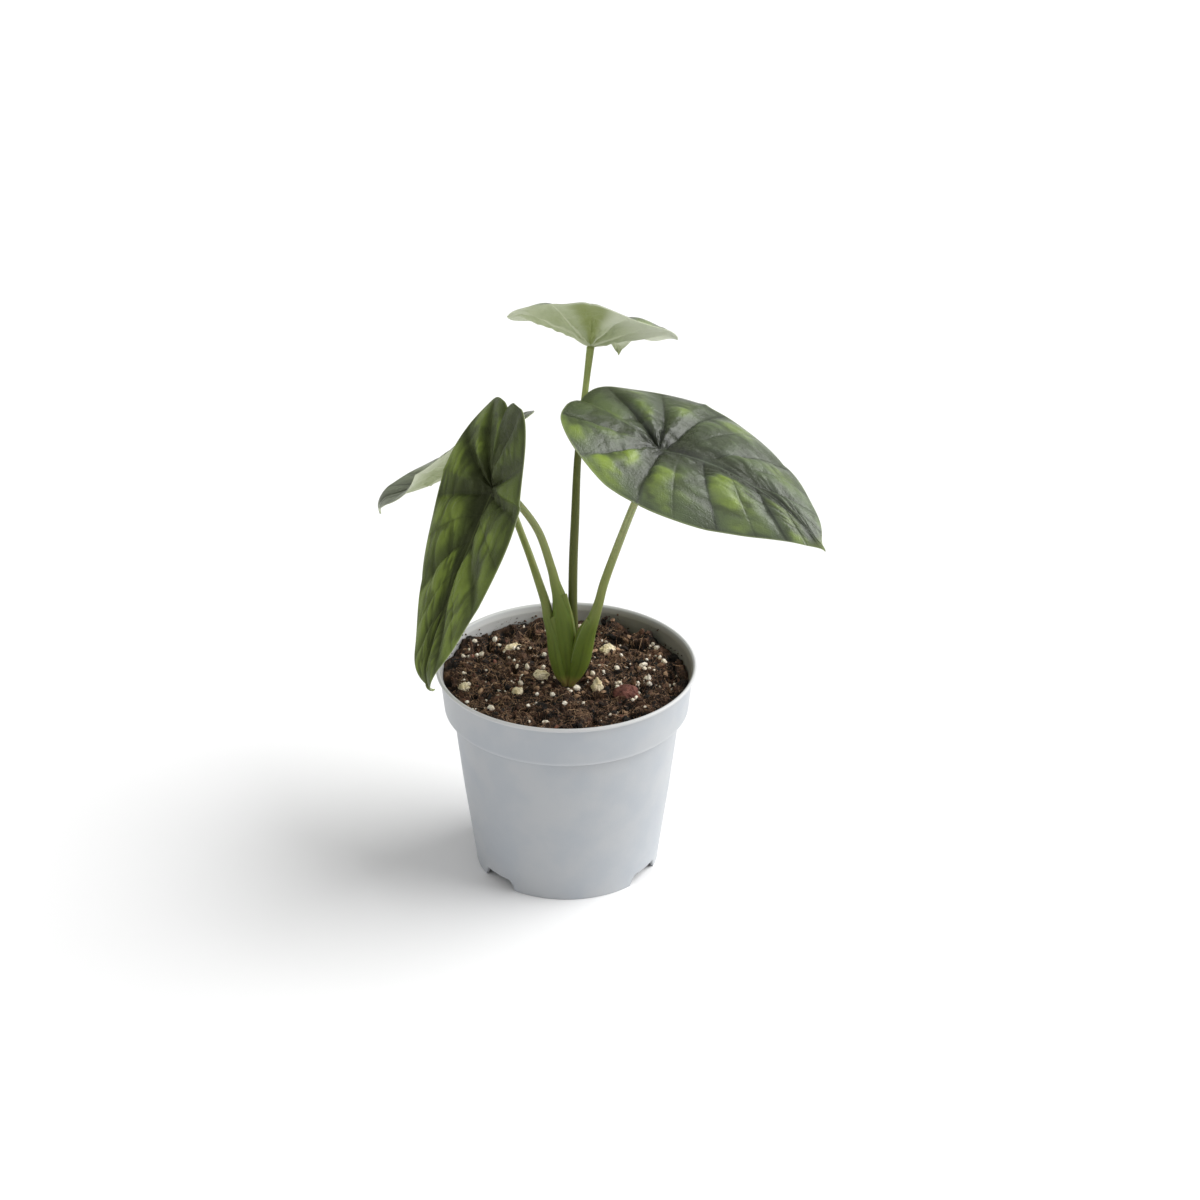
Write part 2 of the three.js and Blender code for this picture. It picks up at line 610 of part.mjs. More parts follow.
function bladeInPlace(leaf, grow) {
  return bladeGeometry(leaf, grow).rotateZ(rad(leaf.heading)).translate(...leaf.joint);
}

// Assembly
const plant = new THREE.Group();
plant.name = 'potted_alocasia_sinuata';

function add(name, geometry, colour, roughness) {
  const material = new THREE.MeshStandardMaterial({ color: colour, roughness, metalness: 0 });
  const mesh = new THREE.Mesh(geometry, material);
  mesh.name = name;
  plant.add(mesh);
  return mesh;
}

add('pot', potGeometry(), COLOURS.pot, 0.55);
const litter = [...STONES, BARK];
const seats = litter.map((stone) => stoneGeometry(stone, GAP));
add('soil', cut(soilGeometry(), crownHole(), ...seats), COLOURS.soil, 1);
add('crown', crownGeometry(), COLOURS.crown, 0.7);
STONES.forEach((stone) => add(stone.name, stoneGeometry(stone), COLOURS.pumice, 0.95));
add(BARK.name, stoneGeometry(BARK), COLOURS.bark, 0.9);

// The youngest stalk is innermost: each sheath is hollowed by the stalks that it wraps
const stalkOrder = ['top', 'left', 'right', 'back'];
stalkOrder.forEach((name, i) => {
  const wrapped = stalkOrder.slice(0, i).map((inner) => stalkGeometry(STALKS[inner], GAP));
  const seat = bladeInPlace(BLADES[name], GAP);
  const colour = name === 'top' ? COLOURS.stalkTop : COLOURS.stalk;
  add(`petiole_${name}`, cut(stalkGeometry(STALKS[name]), crownGeometry(GAP), seat, ...wrapped), colour, 0.5);
});

const bladeColours = {
  top: COLOURS.bladePale, right: COLOURS.bladeDark, left: COLOURS.bladeLeft, back: COLOURS.bladePale,
};
for (const [name, leaf] of Object.entries(BLADES)) {
  const mesh = add(`blade_${name}`, bladeGeometry(leaf), bladeColours[name], 0.45);
  mesh.position.set(...leaf.joint);
  mesh.rotation.z = rad(leaf.heading);
}

export default plant;
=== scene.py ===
"""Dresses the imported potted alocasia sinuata: leaves, sheathed stalks, potting mix and nursery pot."""
import logging
import math
from dataclasses import dataclass, field
from enum import Enum
from typing import Any, Sequence

import bpy
import numpy as np
from numpy.typing import NDArray
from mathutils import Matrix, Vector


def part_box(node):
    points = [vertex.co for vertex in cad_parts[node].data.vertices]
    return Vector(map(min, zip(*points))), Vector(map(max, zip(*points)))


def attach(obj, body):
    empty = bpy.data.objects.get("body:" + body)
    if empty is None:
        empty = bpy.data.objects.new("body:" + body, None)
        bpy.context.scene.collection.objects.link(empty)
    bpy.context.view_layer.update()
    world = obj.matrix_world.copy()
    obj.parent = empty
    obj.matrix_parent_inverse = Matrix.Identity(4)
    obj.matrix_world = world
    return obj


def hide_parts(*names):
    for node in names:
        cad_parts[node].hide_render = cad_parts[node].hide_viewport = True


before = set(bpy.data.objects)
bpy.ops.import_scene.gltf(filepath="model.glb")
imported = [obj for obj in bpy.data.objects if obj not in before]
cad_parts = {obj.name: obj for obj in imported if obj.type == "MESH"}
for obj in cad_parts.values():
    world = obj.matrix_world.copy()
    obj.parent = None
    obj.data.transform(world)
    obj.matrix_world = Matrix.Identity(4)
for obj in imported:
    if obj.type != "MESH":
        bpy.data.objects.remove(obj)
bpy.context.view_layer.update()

Array = NDArray[np.float64]
Faces = NDArray[np.int64]
Colour = tuple[float, float, float]

MM = 0.001
CROWN_AT = (1.2, -0.4)
log = logging.getLogger("potted_alocasia")


class Slot(Enum):
    """Material slots of the record."""

    POT = "pot_plastic"
    SOIL = "soil"
    PUMICE = "pumice"
    BARK = "bark"
    STALK = "stalk"
    LEAF = "leaf"


# Maths on whole arrays


def smooth(low: float, high: float, x: Array) -> Array:
    """Smooth step: 3 f^2 - 2 f^3, where f is x from low to high, held to 0..1.

    Args:
        low: value of x where the step begins.
        high: value of x where the step ends.
        x: values to map.

    Returns:
        The step's height at each x.
    """
    f = np.clip((x - low) / (high - low), 0.0, 1.0)
    return f * f * (3.0 - 2.0 * f)


def bell(distance: Array, width: float) -> Array:
    """Bell curve: e to the power of minus the square of distance over width, so 1 in the middle."""
    return np.exp(-((distance / width) ** 2))


def through(rows: Sequence[Sequence[float]], knots: Array) -> Array:
    """Uniform Catmull-Rom curve: each span is the cubic whose end slopes are half the neighbours' difference.

    Args:
        rows: one row of numbers for each knot.
        knots: places on the curve, from 0 to the last row.

    Returns:
        An array with one more axis than knots, as long as a row.
    """
    table = np.asarray(rows, float)
    ends = (2 * table[0] - table[1], 2 * table[-1] - table[-2])
    padded = np.vstack([ends[0], table, ends[1]])
    at = np.clip(np.asarray(knots, float), 0.0, len(table) - 1 - 1e-9)
    i = at.astype(int)
    f = (at - i)[..., None]
    p0, p1, p2, p3 = (padded[i + step] for step in range(4))
    cubic = (2 * p0 - 5 * p1 + 4 * p2 - p3) * f**2 + (3 * p1 - p0 - 3 * p2 + p3) * f**3
    return 0.5 * (2 * p1 + (p2 - p0) * f + cubic)


def unit(vectors: Array) -> Array:
    """Vectors divided by their lengths."""
    return vectors / np.linalg.norm(vectors, axis=-1, keepdims=True)


# Large numbers that turn a lattice corner's x, y and z into one key
CORNER_KEYS = np.array([374761393, 668265263, 1274126177])


def field_noise(points: Array, scale: float, seed: int) -> Array:
    """Value noise: numbers hashed from the eight lattice corners, blended by smooth steps along x, y and z.

    Args:
        points: places, with x, y and z on the last axis.
        scale: length of one lattice cell.
        seed: picks the hash.

    Returns:
        Values from -1 to 1.
    """
    cell = np.asarray(points, float) / scale
    corner = np.floor(cell).astype(np.int64)
    f = cell - corner
    f = f * f * (3.0 - 2.0 * f)
    total = np.zeros(cell.shape[:-1])
    for dx, dy, dz in np.ndindex(2, 2, 2):
        step = np.array([dx, dy, dz])
        key = (corner + step) @ CORNER_KEYS + seed * 97531
        key = (key ^ (key >> 13)) * 1103515245
        value = ((key ^ (key >> 16)) & 0xFFFF) / 32767.5 - 1.0
        total += value * np.prod(np.where(step > 0, f, 1.0 - f), axis=-1)
    return total


def octaves(points: Array, scale: float, seed: int, count: int = 3) -> Array:
    """Sum of value noises, each with half the cell and half the height of the last.

    Args:
        points: places, with x, y and z on the last axis.
        scale: cell of the coarsest noise.
        seed: picks the hash.
        count: how many noises are added.

    Returns:
        Values of about -1 to 1.
    """
    layers = [field_noise(points, scale / 2**k, seed + k) / 2**k for k in range(count)]
    return sum(layers) / 1.6


# Meshes


def add_object(name: str, data: Any) -> Any:
    """Puts a new object at the origin of the scene.

    Args:
        name: the object's name.
        data: its mesh, light or camera.

    Returns:
        The object.
    """
    made = bpy.data.objects.new(name, data)
    bpy.context.scene.collection.objects.link(made)
    return made


@dataclass
class Sheet:
    """A grid of points, with values for each point, that becomes two triangles a cell."""

    points: Array
    values: dict[str, Array] = field(default_factory=dict)
    flipped: bool = False

    def triangles(self) -> Faces:
        """Two triangles for each cell of the grid.

        Returns:
            Their corner numbers, turned round where the sheet is flipped.
        """
        n, m = self.points.shape[:2]
        ids = np.arange(n * m).reshape(n, m)
        a, b, c, d = ids[:-1, :-1], ids[:-1, 1:], ids[1:, 1:], ids[1:, :-1]
        faces = np.concatenate([np.stack([a, b, c], -1), np.stack([a, c, d], -1)]).reshape(-1, 3)
        return faces[:, ::-1] if self.flipped else faces


@dataclass
class Shape:
    """Vertices and triangles in millimetres, with values for each vertex."""

    points: Array
    faces: Faces
    values: dict[str, Array] = field(default_factory=dict)

    @classmethod
    def of_sheets(cls, sheets: Sequence[Sheet]) -> "Shape":
        """Welds sheets into one shape: points that round to the same tenth of a micron become one.

        Args:
            sheets: the sheets, all with the same value names.

        Returns:
            The shape without the triangles that the weld collapses.
        """
        names = list(sheets[0].values)
        points = np.concatenate([s.points.reshape(-1, 3) for s in sheets])
        starts = np.cumsum([0] + [s.points.size // 3 for s in sheets[:-1]])
        faces = np.concatenate([s.triangles() + start for s, start in zip(sheets, starts)])
        _, first, place = np.unique(
            np.round(points * 1e4).astype(np.int64), axis=0, return_index=True, return_inverse=True
        )
        faces = place.reshape(-1)[faces]
        kept = (faces[:, 0] != faces[:, 1]) & (faces[:, 1] != faces[:, 2]) & (faces[:, 2] != faces[:, 0])
        joined = {k: np.concatenate([s.values[k].reshape(-1) for s in sheets])[first] for k in names}
        return cls(points[first], faces[kept], joined)

    @classmethod
    def of_copies(cls, points: Array, faces: Faces, values: dict[str, Array]) -> "Shape":
        """Lays copies of one small shape in a single mesh.

        Args:
            points: vertices, as copies x vertices x 3.
            faces: triangles of one copy.
            values: one number for each copy under each name.

        Returns:
            All the copies as one shape.
        """
        copies, each = points.shape[:2]
        offsets = (np.arange(copies) * each)[:, None, None]
        spread = {k: np.repeat(v, each) for k, v in values.items()}
        return cls(points.reshape(-1, 3), (faces[None] + offsets).reshape(-1, 3), spread)

    def with_shape(self, other: "Shape") -> "Shape":
        """Joins another shape to this one, unwelded.

        Args:
            other: a shape with the same value names.

        Returns:
            Both as one shape.
        """
        faces = np.concatenate([self.faces, other.faces + len(self.points)])
        joined = {k: np.concatenate([v, other.values[k]]) for k, v in self.values.items()}
        return Shape(np.concatenate([self.points, other.points]), faces, joined)

    def as_object(self, name: str) -> Any:
        """Puts the shape in the scene, turned from millimetres to metres.

        Args:
            name: the object's and the mesh's name.

        Returns:
            The new object.
        """
        mesh = bpy.data.meshes.new(name)
        mesh.from_pydata((self.points * MM).tolist(), [], self.faces.tolist())
        for key, numbers in self.values.items():
            attribute = mesh.attributes.new(key, "FLOAT", "POINT")
            attribute.data.foreach_set("value", np.ascontiguousarray(numbers, np.float32))
        return add_object(name, mesh)

    def build(
        self,
        name: str,
        material: bpy.types.Material,
        slot: Slot,
        nodes: Sequence[str] = (),
        rounded: bool = True,
    ) -> Any:
        """Makes the finished piece, lets it ride on the part and hides the CAD nodes that it stands for.

        Args:
            name: the piece's name.
            material: the piece's material.
            slot: the record's slot that the finish belongs to; it is not used.
            nodes: CAD nodes that the piece replaces.
            rounded: smooth shading, or flat facets.

        Returns:
            The new object.
        """
        piece = self.as_object(name)
        if rounded:
            piece.data.shade_smooth()
        piece.data.materials.append(material)
        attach(piece, "root")
        if nodes:
            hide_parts(*nodes)
        log.info("%s: %d triangles", name, len(self.faces))
        return piece


def ball(level: int) -> tuple[Array, Faces]:
    """Unit ball from an octahedron, each triangle split in four and pushed out to the ball, level times.

    Args:
        level: how many times the triangles are split.

    Returns:
        The directions and the triangles.
    """
    points = np.array([[1, 0, 0], [-1, 0, 0], [0, 1, 0], [0, -1, 0], [0, 0, 1], [0, 0, -1]], float)
    faces = np.array([[0, 2, 4], [2, 1, 4], [1, 3, 4], [3, 0, 4], [2, 0, 5], [1, 2, 5], [3, 1, 5], [0, 3, 5]])
    for _ in range(level):
        corners = points[faces]
        middles = unit(corners + corners[:, [1, 2, 0]])
        a, b, c = corners[:, 0], corners[:, 1], corners[:, 2]
        ab, bc, ca = middles[:, 0], middles[:, 1], middles[:, 2]
        quads = [(a, ab, ca), (ab, b, bc), (ca, bc, c), (ab, bc, ca)]
        soup = np.stack([np.stack(q, 1) for q in quads], 1).reshape(-1, 3)
        _, first, place = np.unique(np.round(soup, 6), axis=0, return_index=True, return_inverse=True)
        points = soup[first]
        faces = place.reshape(-1, 3)
    return points, faces


# Materials


class Wire:
    """A node's output that takes part in arithmetic; each operation adds one Math node."""

    def __init__(self, paint: "Paint", socket: Any) -> None:
        """Keeps the socket and the material that it belongs to."""
        self.paint = paint
        self.socket = socket

    def maths(self, operation: str, *values: Any) -> "Wire":
        """Math node on this value and up to two more."""
        return self.paint.node("ShaderNodeMath", {"operation": operation}, dict(enumerate([self, *values])))

    def __add__(self, other: Any) -> "Wire":
        """Sum."""
        return self.maths("ADD", other)

    def __mul__(self, other: Any) -> "Wire":
        """Product."""
        return self.maths("MULTIPLY", other)

    def __sub__(self, other: Any) -> "Wire":
        """Difference."""
        return self.maths("SUBTRACT", other)

    def __rsub__(self, other: float) -> "Wire":
        """Number less this value."""
        return (self * -1.0) + other

    def __pow__(self, other: float) -> "Wire":
        """Power."""
        return self.maths("POWER", other)

    __radd__ = __add__
    __rmul__ = __mul__

    def least(self, other: Any) -> "Wire":
        """Smaller of two values."""
        return self.maths("MINIMUM", other)

    def most(self, other: Any) -> "Wire":
        """Larger of two values."""
        return self.maths("MAXIMUM", other)

    def step(self, low: float, high: float) -> "Wire":
        """Smooth step; a high below low turns it round.

        Args:
            low: value where the step is 0.
            high: value where it is 1.

        Returns:
            The step's height.
        """
        settings = {"interpolation_type": "SMOOTHSTEP"}
        values = {"Value": self, "From Min": low, "From Max": high}
        return self.paint.node("ShaderNodeMapRange", settings, values)


class Paint:
    """A node material around one Principled shader."""

    def __init__(self, name: str, **constants: Any) -> None:
        """Starts the material.

        Args:
            name: the material's name.
            constants: values of the shader's sockets that are the same all over, with _ for a space.
        """
        self.material = bpy.data.materials.new(name)
        self.material.use_nodes = True
        self.tree = self.material.node_tree
        self.tree.nodes.clear()
        self.shader = self.tree.nodes.new("ShaderNodeBsdfPrincipled")
        output = self.tree.nodes.new("ShaderNodeOutputMaterial")
        self.tree.links.new(self.shader.outputs[0], output.inputs["Surface"])
        for key, value in constants.items():
            self.shader.inputs[key.replace("_", " ")].default_value = value

    def node(
        self,
        kind: str,
        settings: dict[str, Any] | None = None,
        values: dict[Any, Any] | None = None,
        out: Any = 0,
    ) -> Wire:
        """Adds a node.

        Args:
            kind: the node's type.
            settings: its properties, set first.
            values: numbers or wires for its inputs.
            out: name or number of the output that is wanted.

        Returns:
            That output.
        """
        made = self.tree.nodes.new(kind)
        for key, value in (settings or {}).items():
            setattr(made, key, value)
        for key, value in (values or {}).items():
            if isinstance(value, Wire):
                self.tree.links.new(value.socket, made.inputs[key])
            else:
                made.inputs[key].default_value = value
        return Wire(self, made.outputs[out])

    def value(self, name: str) -> Wire:
        """A number kept on the mesh's vertices."""
        return self.node("ShaderNodeAttribute", {"attribute_name": name}, out="Fac")

    def place(self) -> Wire:
        """Object coordinates in metres."""
        return self.node("ShaderNodeTexCoord", out="Object")

    def noise(self, size_mm: float, detail: float = 3.0, rough: float = 0.55) -> Wire:
        """Noise whose grains are about size_mm across."""
        values = {"Vector": self.place(), "Scale": 1.0 / (size_mm * MM), "Detail": detail, "Roughness": rough}
        return self.node("ShaderNodeTexNoise", None, values)

    def mix(self, share: Any, first: Any, second: Any) -> Wire:
        """Colour between two colours.

        Args:
            share: 0 for the first, 1 for the second.
            first: colour or wire.
            second: colour or wire.

        Returns:
            The mixed colour.
        """
        colours = [(*c, 1.0) if isinstance(c, tuple) else c for c in (first, second)]
        values = {0: share, 6: colours[0], 7: colours[1]}
        return self.node("ShaderNodeMix", {"data_type": "RGBA"}, values, out=2)

    def coats(self, tone: Any, *layers: tuple[Any, Any]) -> Any:
        """Colours laid one over another.

        Args:
            tone: the lowest colour.
            layers: for each coat, the share that it covers and its colour.

        Returns:
            The colour on top.
        """
        for share, colour in layers:
            tone = self.mix(share, tone, colour)
        return tone

    def feed(self, socket: str, wire: Wire) -> None:
        """Joins a wire to one of the shader's sockets."""
        self.tree.links.new(wire.socket, self.shader.inputs[socket])

    def bump(self, height: Wire, depth_mm: float) -> None:
        """Bump whose height of 1 stands depth_mm high."""
        values = {"Height": height, "Distance": depth_mm * MM}
        self.feed("Normal", self.node("ShaderNodeBump", None, values, out="Normal"))


@dataclass(frozen=True)
class PotFinish:
    """Injection-moulded matte plastic: a cloudy tone and gloss, a painted shade under the step and a painted
    highlight line on it, a paler rim, and inside painted shade with a stain on the right, and dust of the
    mix."""

    body: Colour = (0.434, 0.450, 0.467)
    cool: Colour = (0.395, 0.42, 0.45)
    # Painted shade under the step's overhang
    shaded: Colour = (0.24, 0.25, 0.26)
    # Painted highlight line on the step's ledge
    ledge_highlight: Colour = (0.60, 0.61, 0.63)
    inside: Colour = (0.47, 0.468, 0.468)
    # Inner wall on the right: painted shade mixed with a dust stain
    shade_and_stain_tone: Colour = (0.22, 0.21, 0.18)
    rim: Colour = (0.53, 0.533, 0.537)
    dust: Colour = (0.12, 0.08, 0.06)
    roughness: float = 0.42

    def material(self) -> bpy.types.Material:
        """Makes the node material.

        Returns:
            The material.
        """
        paint = Paint("pot_plastic", IOR=1.46)
        cloud = paint.noise(22.0, 4.0)
        grain = paint.noise(0.55, 2.0)
        specks = paint.noise(2.6, 5.0, 0.7)
        rim = paint.value("rim")
        dust = specks.step(0.62, 0.75) * paint.value("dust") + specks.step(0.68, 0.76) * rim
        tone = paint.coats(
            self.body,
            (cloud.step(0.35, 0.7), self.cool),
            # Painted shade under the step and a painted highlight line on its ledge
            (paint.value("below") * 0.6, self.shaded),
            (paint.value("ledge_highlight") * 0.35, self.ledge_highlight),
            (paint.value("inner"), self.inside),
            # Painted shade mixed with a dust stain, growing to the right inside
            (paint.value("shade_and_stain"), self.shade_and_stain_tone),
            (rim, self.rim),
            (dust * 0.5, self.dust),
        )
        paint.feed("Base Color", tone)
        paint.feed("Roughness", cloud * 0.16 + (self.roughness - 0.08))
        paint.bump(grain + cloud * 0.6, 0.05)
        return paint.material


@dataclass(frozen=True)
class LeafFinish:
    """Leathery leaf: dark along the veins, partly painted shade in their furrows and on their flanks, green
    patches between them, a grey bloom that is partly painted sheen, painted shade in hollows and painted
    highlight on crests, and pale below, brightened as painted light shining through.
    """

    patch: Colour = (0.215, 0.302, 0.034)
    green: Colour = (0.078, 0.107, 0.044)
    dark: Colour = (0.038, 0.047, 0.024)
    steel: Colour = (0.037, 0.039, 0.034)
    edge: Colour = (0.30, 0.36, 0.15)
    # Grey-green bloom, partly painted sheen; also the colour of the paler midrib and the painted crest
    # highlight
    bloom_and_sheen: Colour = (0.155, 0.187, 0.130)
    # Near-black line in the sunk veins: their dark colour and painted shade in the furrows
    groove: Colour = (0.012, 0.016, 0.010)
    tip: Colour = (0.24, 0.29, 0.10)
    # Underside: the leaf's own pale green, brightened as painted light shining through the leaf
    under: Colour = (0.48, 0.535, 0.325)
    under_mottle: Colour = (0.37, 0.43, 0.21)
    # Painted shade in the underside's hollows
    under_hollow_shade: Colour = (0.30, 0.36, 0.15)
    under_margin: Colour = (0.67, 0.71, 0.54)
    under_vein: Colour = (0.66, 0.70, 0.50)
    under_thick: Colour = (0.25, 0.30, 0.08)
    gloss: float = 0.5
    roughness: float = 0.36
    line: float = 0.45

    def material(self, name: str) -> bpy.types.Material:
        """Makes the node material; distances come from the mesh in millimetres.

        Args:
            name: the material's name.

        Returns:
            The material.
        """
        paint = Paint(name, IOR=1.45, Specular_IOR_Level=self.gloss)
        vein, weak, rib = paint.value("vein_mm"), paint.value("weak_mm"), paint.value("rib_mm")
        under, lift, tip = paint.value("under"), paint.value("lift"), paint.value("tip")
        cloud = paint.noise(9.0, 3.0, 0.6)
        blotch = paint.noise(3.2, 4.0, 0.6)
        fine = paint.noise(1.0, 4.0, 0.65)
        net = paint.value("chevron").maths("PINGPONG", 0.5).step(0.07, 0.0)
        # Green patch strength, raised a little on the bumps' crests as painted light
        patch_and_crest_light = paint.value("patch") * (0.6 + cloud * 0.4 + blotch * 0.4) + 0.18 + lift * 0.12
        patch_and_crest_light = patch_and_crest_light.least(1.3)
        tone = paint.coats(
            self.dark,
            (patch_and_crest_light.step(-0.05, 0.45), self.green),
            (patch_and_crest_light.step(0.30, 1.15), self.patch),
            # Dark bands by the veins: partly the leaf's dark vein zones, partly painted shade on the flanks
            # sloping into the veins
            (paint.value("vein_band_and_shade") * (0.15 + blotch * 0.65), self.steel),
            (paint.value("centre") * (0.55 + fine * 0.6), self.steel),
            # Grey bloom: partly the leaf's grey tone, partly painted sheen growing toward the tip
            (paint.value("bloom_and_sheen") * (0.4 + blotch * 0.9), self.bloom_and_sheen),
            # Near-black line in the sunk veins: their dark colour and painted shade in the furrows
            (vein.step(0.9, 0.1) * self.line, self.groove),
            (weak.step(0.9, 0.1) * 0.25 + net * 0.05, self.dark),
            # Painted shade in the hollows of the small bumps
            (lift.step(0.05, -0.40) * 0.55, self.dark),
            # Painted highlight on the bumps' crests, with painted glints in fine specks
            (lift.step(0.15, 0.90) * 0.22 + fine.step(0.60, 0.72) * 0.2, self.bloom_and_sheen),
            (rib.step(0.5, 0.2) * 0.4, self.bloom_and_sheen),
            (paint.value("edge_mm").step(0.7, 0.2) * 0.4, self.edge),
            (tip * 0.7, self.tip),
        )
        lines = vein.step(0.7, 0.35).most(rib.step(1.2, 0.8)).most(weak.step(0.4, 0.1) * 0.6)
        # Underside colour, brightened as painted light shining through the leaf
        below = paint.coats(
            self.under,
            (blotch.step(0.3, 0.75) * 0.5, self.under_mottle),
            # Painted shade in the underside's hollows
            (lift.step(0.1, -0.5) * 0.3, self.under_hollow_shade),
            (paint.value("margin").step(0.35, 1.0) * 0.9, self.under_margin),
            (paint.value("thick") * 0.9, self.under_thick),
            (lines * 0.7 + net * 0.12, self.under_vein),
            (tip * 0.85, self.tip),
        )
        paint.feed("Base Color", paint.mix(under, tone, below))
        paint.feed("Roughness", fine * 0.2 + (self.roughness - 0.10) + under * 0.2)
        relief = fine + paint.noise(0.45, 2.0) * 0.4 + blotch * 1.2 - net * 0.2 - weak.step(1.0, 0.0) * 0.5
        paint.bump(relief, 0.22)
        return paint.material


@dataclass(frozen=True)
class StalkFinish:
    """Smooth waxy stalk, paler and yellower at its sheath's foot, with fine lengthwise streaks."""

    upper: Colour = (0.235, 0.265, 0.085)
    sheath: Colour = (0.130, 0.180, 0.026)
    young: Colour = (0.31, 0.34, 0.155)
    groove: Colour = (0.05, 0.07, 0.015)
    mottle: Colour = (0.13, 0.16, 0.045)
    fleck: Colour = (0.04, 0.045, 0.018)
    foot: Colour = (0.27, 0.25, 0.06)
    blush: Colour = (0.30, 0.16, 0.09)
    # Paler free margin of the sheath's flaps, partly a painted highlight
    margin: Colour = (0.26, 0.31, 0.13)

    def material(self, name: str) -> bpy.types.Material:
        """Makes the node material.

        Args:
            name: the material's name.

        Returns:
            The material.
        """
        paint = Paint(name, IOR=1.45, Specular_IOR_Level=0.3, Subsurface_Weight=0.08, Subsurface_Scale=0.004)
        streak = paint.value("streak")
        speck = paint.noise(1.1, 4.0, 0.7)
        blotch = paint.noise(5.0, 3.0, 0.6)
        foot = paint.value("foot")
        tone = paint.coats(
            self.upper,
            (paint.value("young"), self.young),
            (paint.value("sheath"), self.sheath),
            (streak * 0.45, self.groove),
            (blotch.step(0.5, 0.8) * 0.3, self.mottle),
            (speck.step(0.55, 0.75) * 0.3, self.fleck),
            (foot, self.foot),
            (foot**2.0 * speck.step(0.45, 0.6) * 0.6, self.blush),
            # Paler free margin of the sheath's flaps, partly a painted highlight
            (paint.value("edge") * 0.7, self.margin),
        )
        paint.feed("Base Color", tone)
        paint.feed("Roughness", speck * 0.2 + 0.36)
        paint.bump(streak * 0.7 + speck * 0.4, 0.12)
        return paint.material


@dataclass(frozen=True)
class SoilFinish:
    """Damp bark and peat: the mesh carries a tint from 0, near black, to 1, tan."""

    black: Colour = (0.005, 0.0033, 0.0022)
    brown: Colour = (0.046, 0.022, 0.011)
    tan: Colour = (0.26, 0.143, 0.076)
    red: Colour = (0.15, 0.050, 0.031)

    def material(self, name: str) -> bpy.types.Material:
        """Makes the node material.

        Args:
            name: the material's name.

        Returns:
            The material.
        """
        paint = Paint(name, Specular_IOR_Level=0.3)
        grain = paint.noise(1.0, 6.0, 0.75)
        cloud = paint.noise(9.0, 3.0)
        tint = paint.value("tint") + (grain - 0.5) * 0.9 + (cloud - 0.52) * 1.1
        tone = paint.coats(
            self.black,
            (tint.step(0.05, 0.5), self.brown),
            (tint.step(0.5, 1.0), self.tan),
            (cloud.step(0.60, 0.72) * tint.step(0.2, 0.6) * 0.4, self.red),
        )
        paint.feed("Base Color", tone)
        paint.feed("Roughness", grain * 0.4 + 0.55)
        paint.bump(grain, 0.7)
        return paint.material


@dataclass(frozen=True)
class StoneFinish:
    """Porous stone or bark with a cloudy tone, and soil in its pits."""

    name: str = "pumice"
    light: Colour = (0.84, 0.74, 0.54)
    shade: Colour = (0.62, 0.52, 0.31)
    soil: Colour = (0.06, 0.04, 0.025)
    pit_mm: float = 0.9

    def material(self) -> bpy.types.Material:
        """Makes the node material.

        Returns:
            The material.
        """
        paint = Paint(self.name, Specular_IOR_Level=0.25)
        pits = paint.noise(self.pit_mm, 5.0, 0.7)
        cloud = paint.noise(3.2, 3.0)
        tone = paint.coats(
            self.light,
            (cloud.step(0.35, 0.65), self.shade),
            (pits.step(0.45, 0.34) * 0.7, self.soil),
        )
        paint.feed("Base Color", tone)
        paint.feed("Roughness", pits * 0.3 + 0.65)
        paint.bump(pits, 0.5)
        return paint.material


# Pot


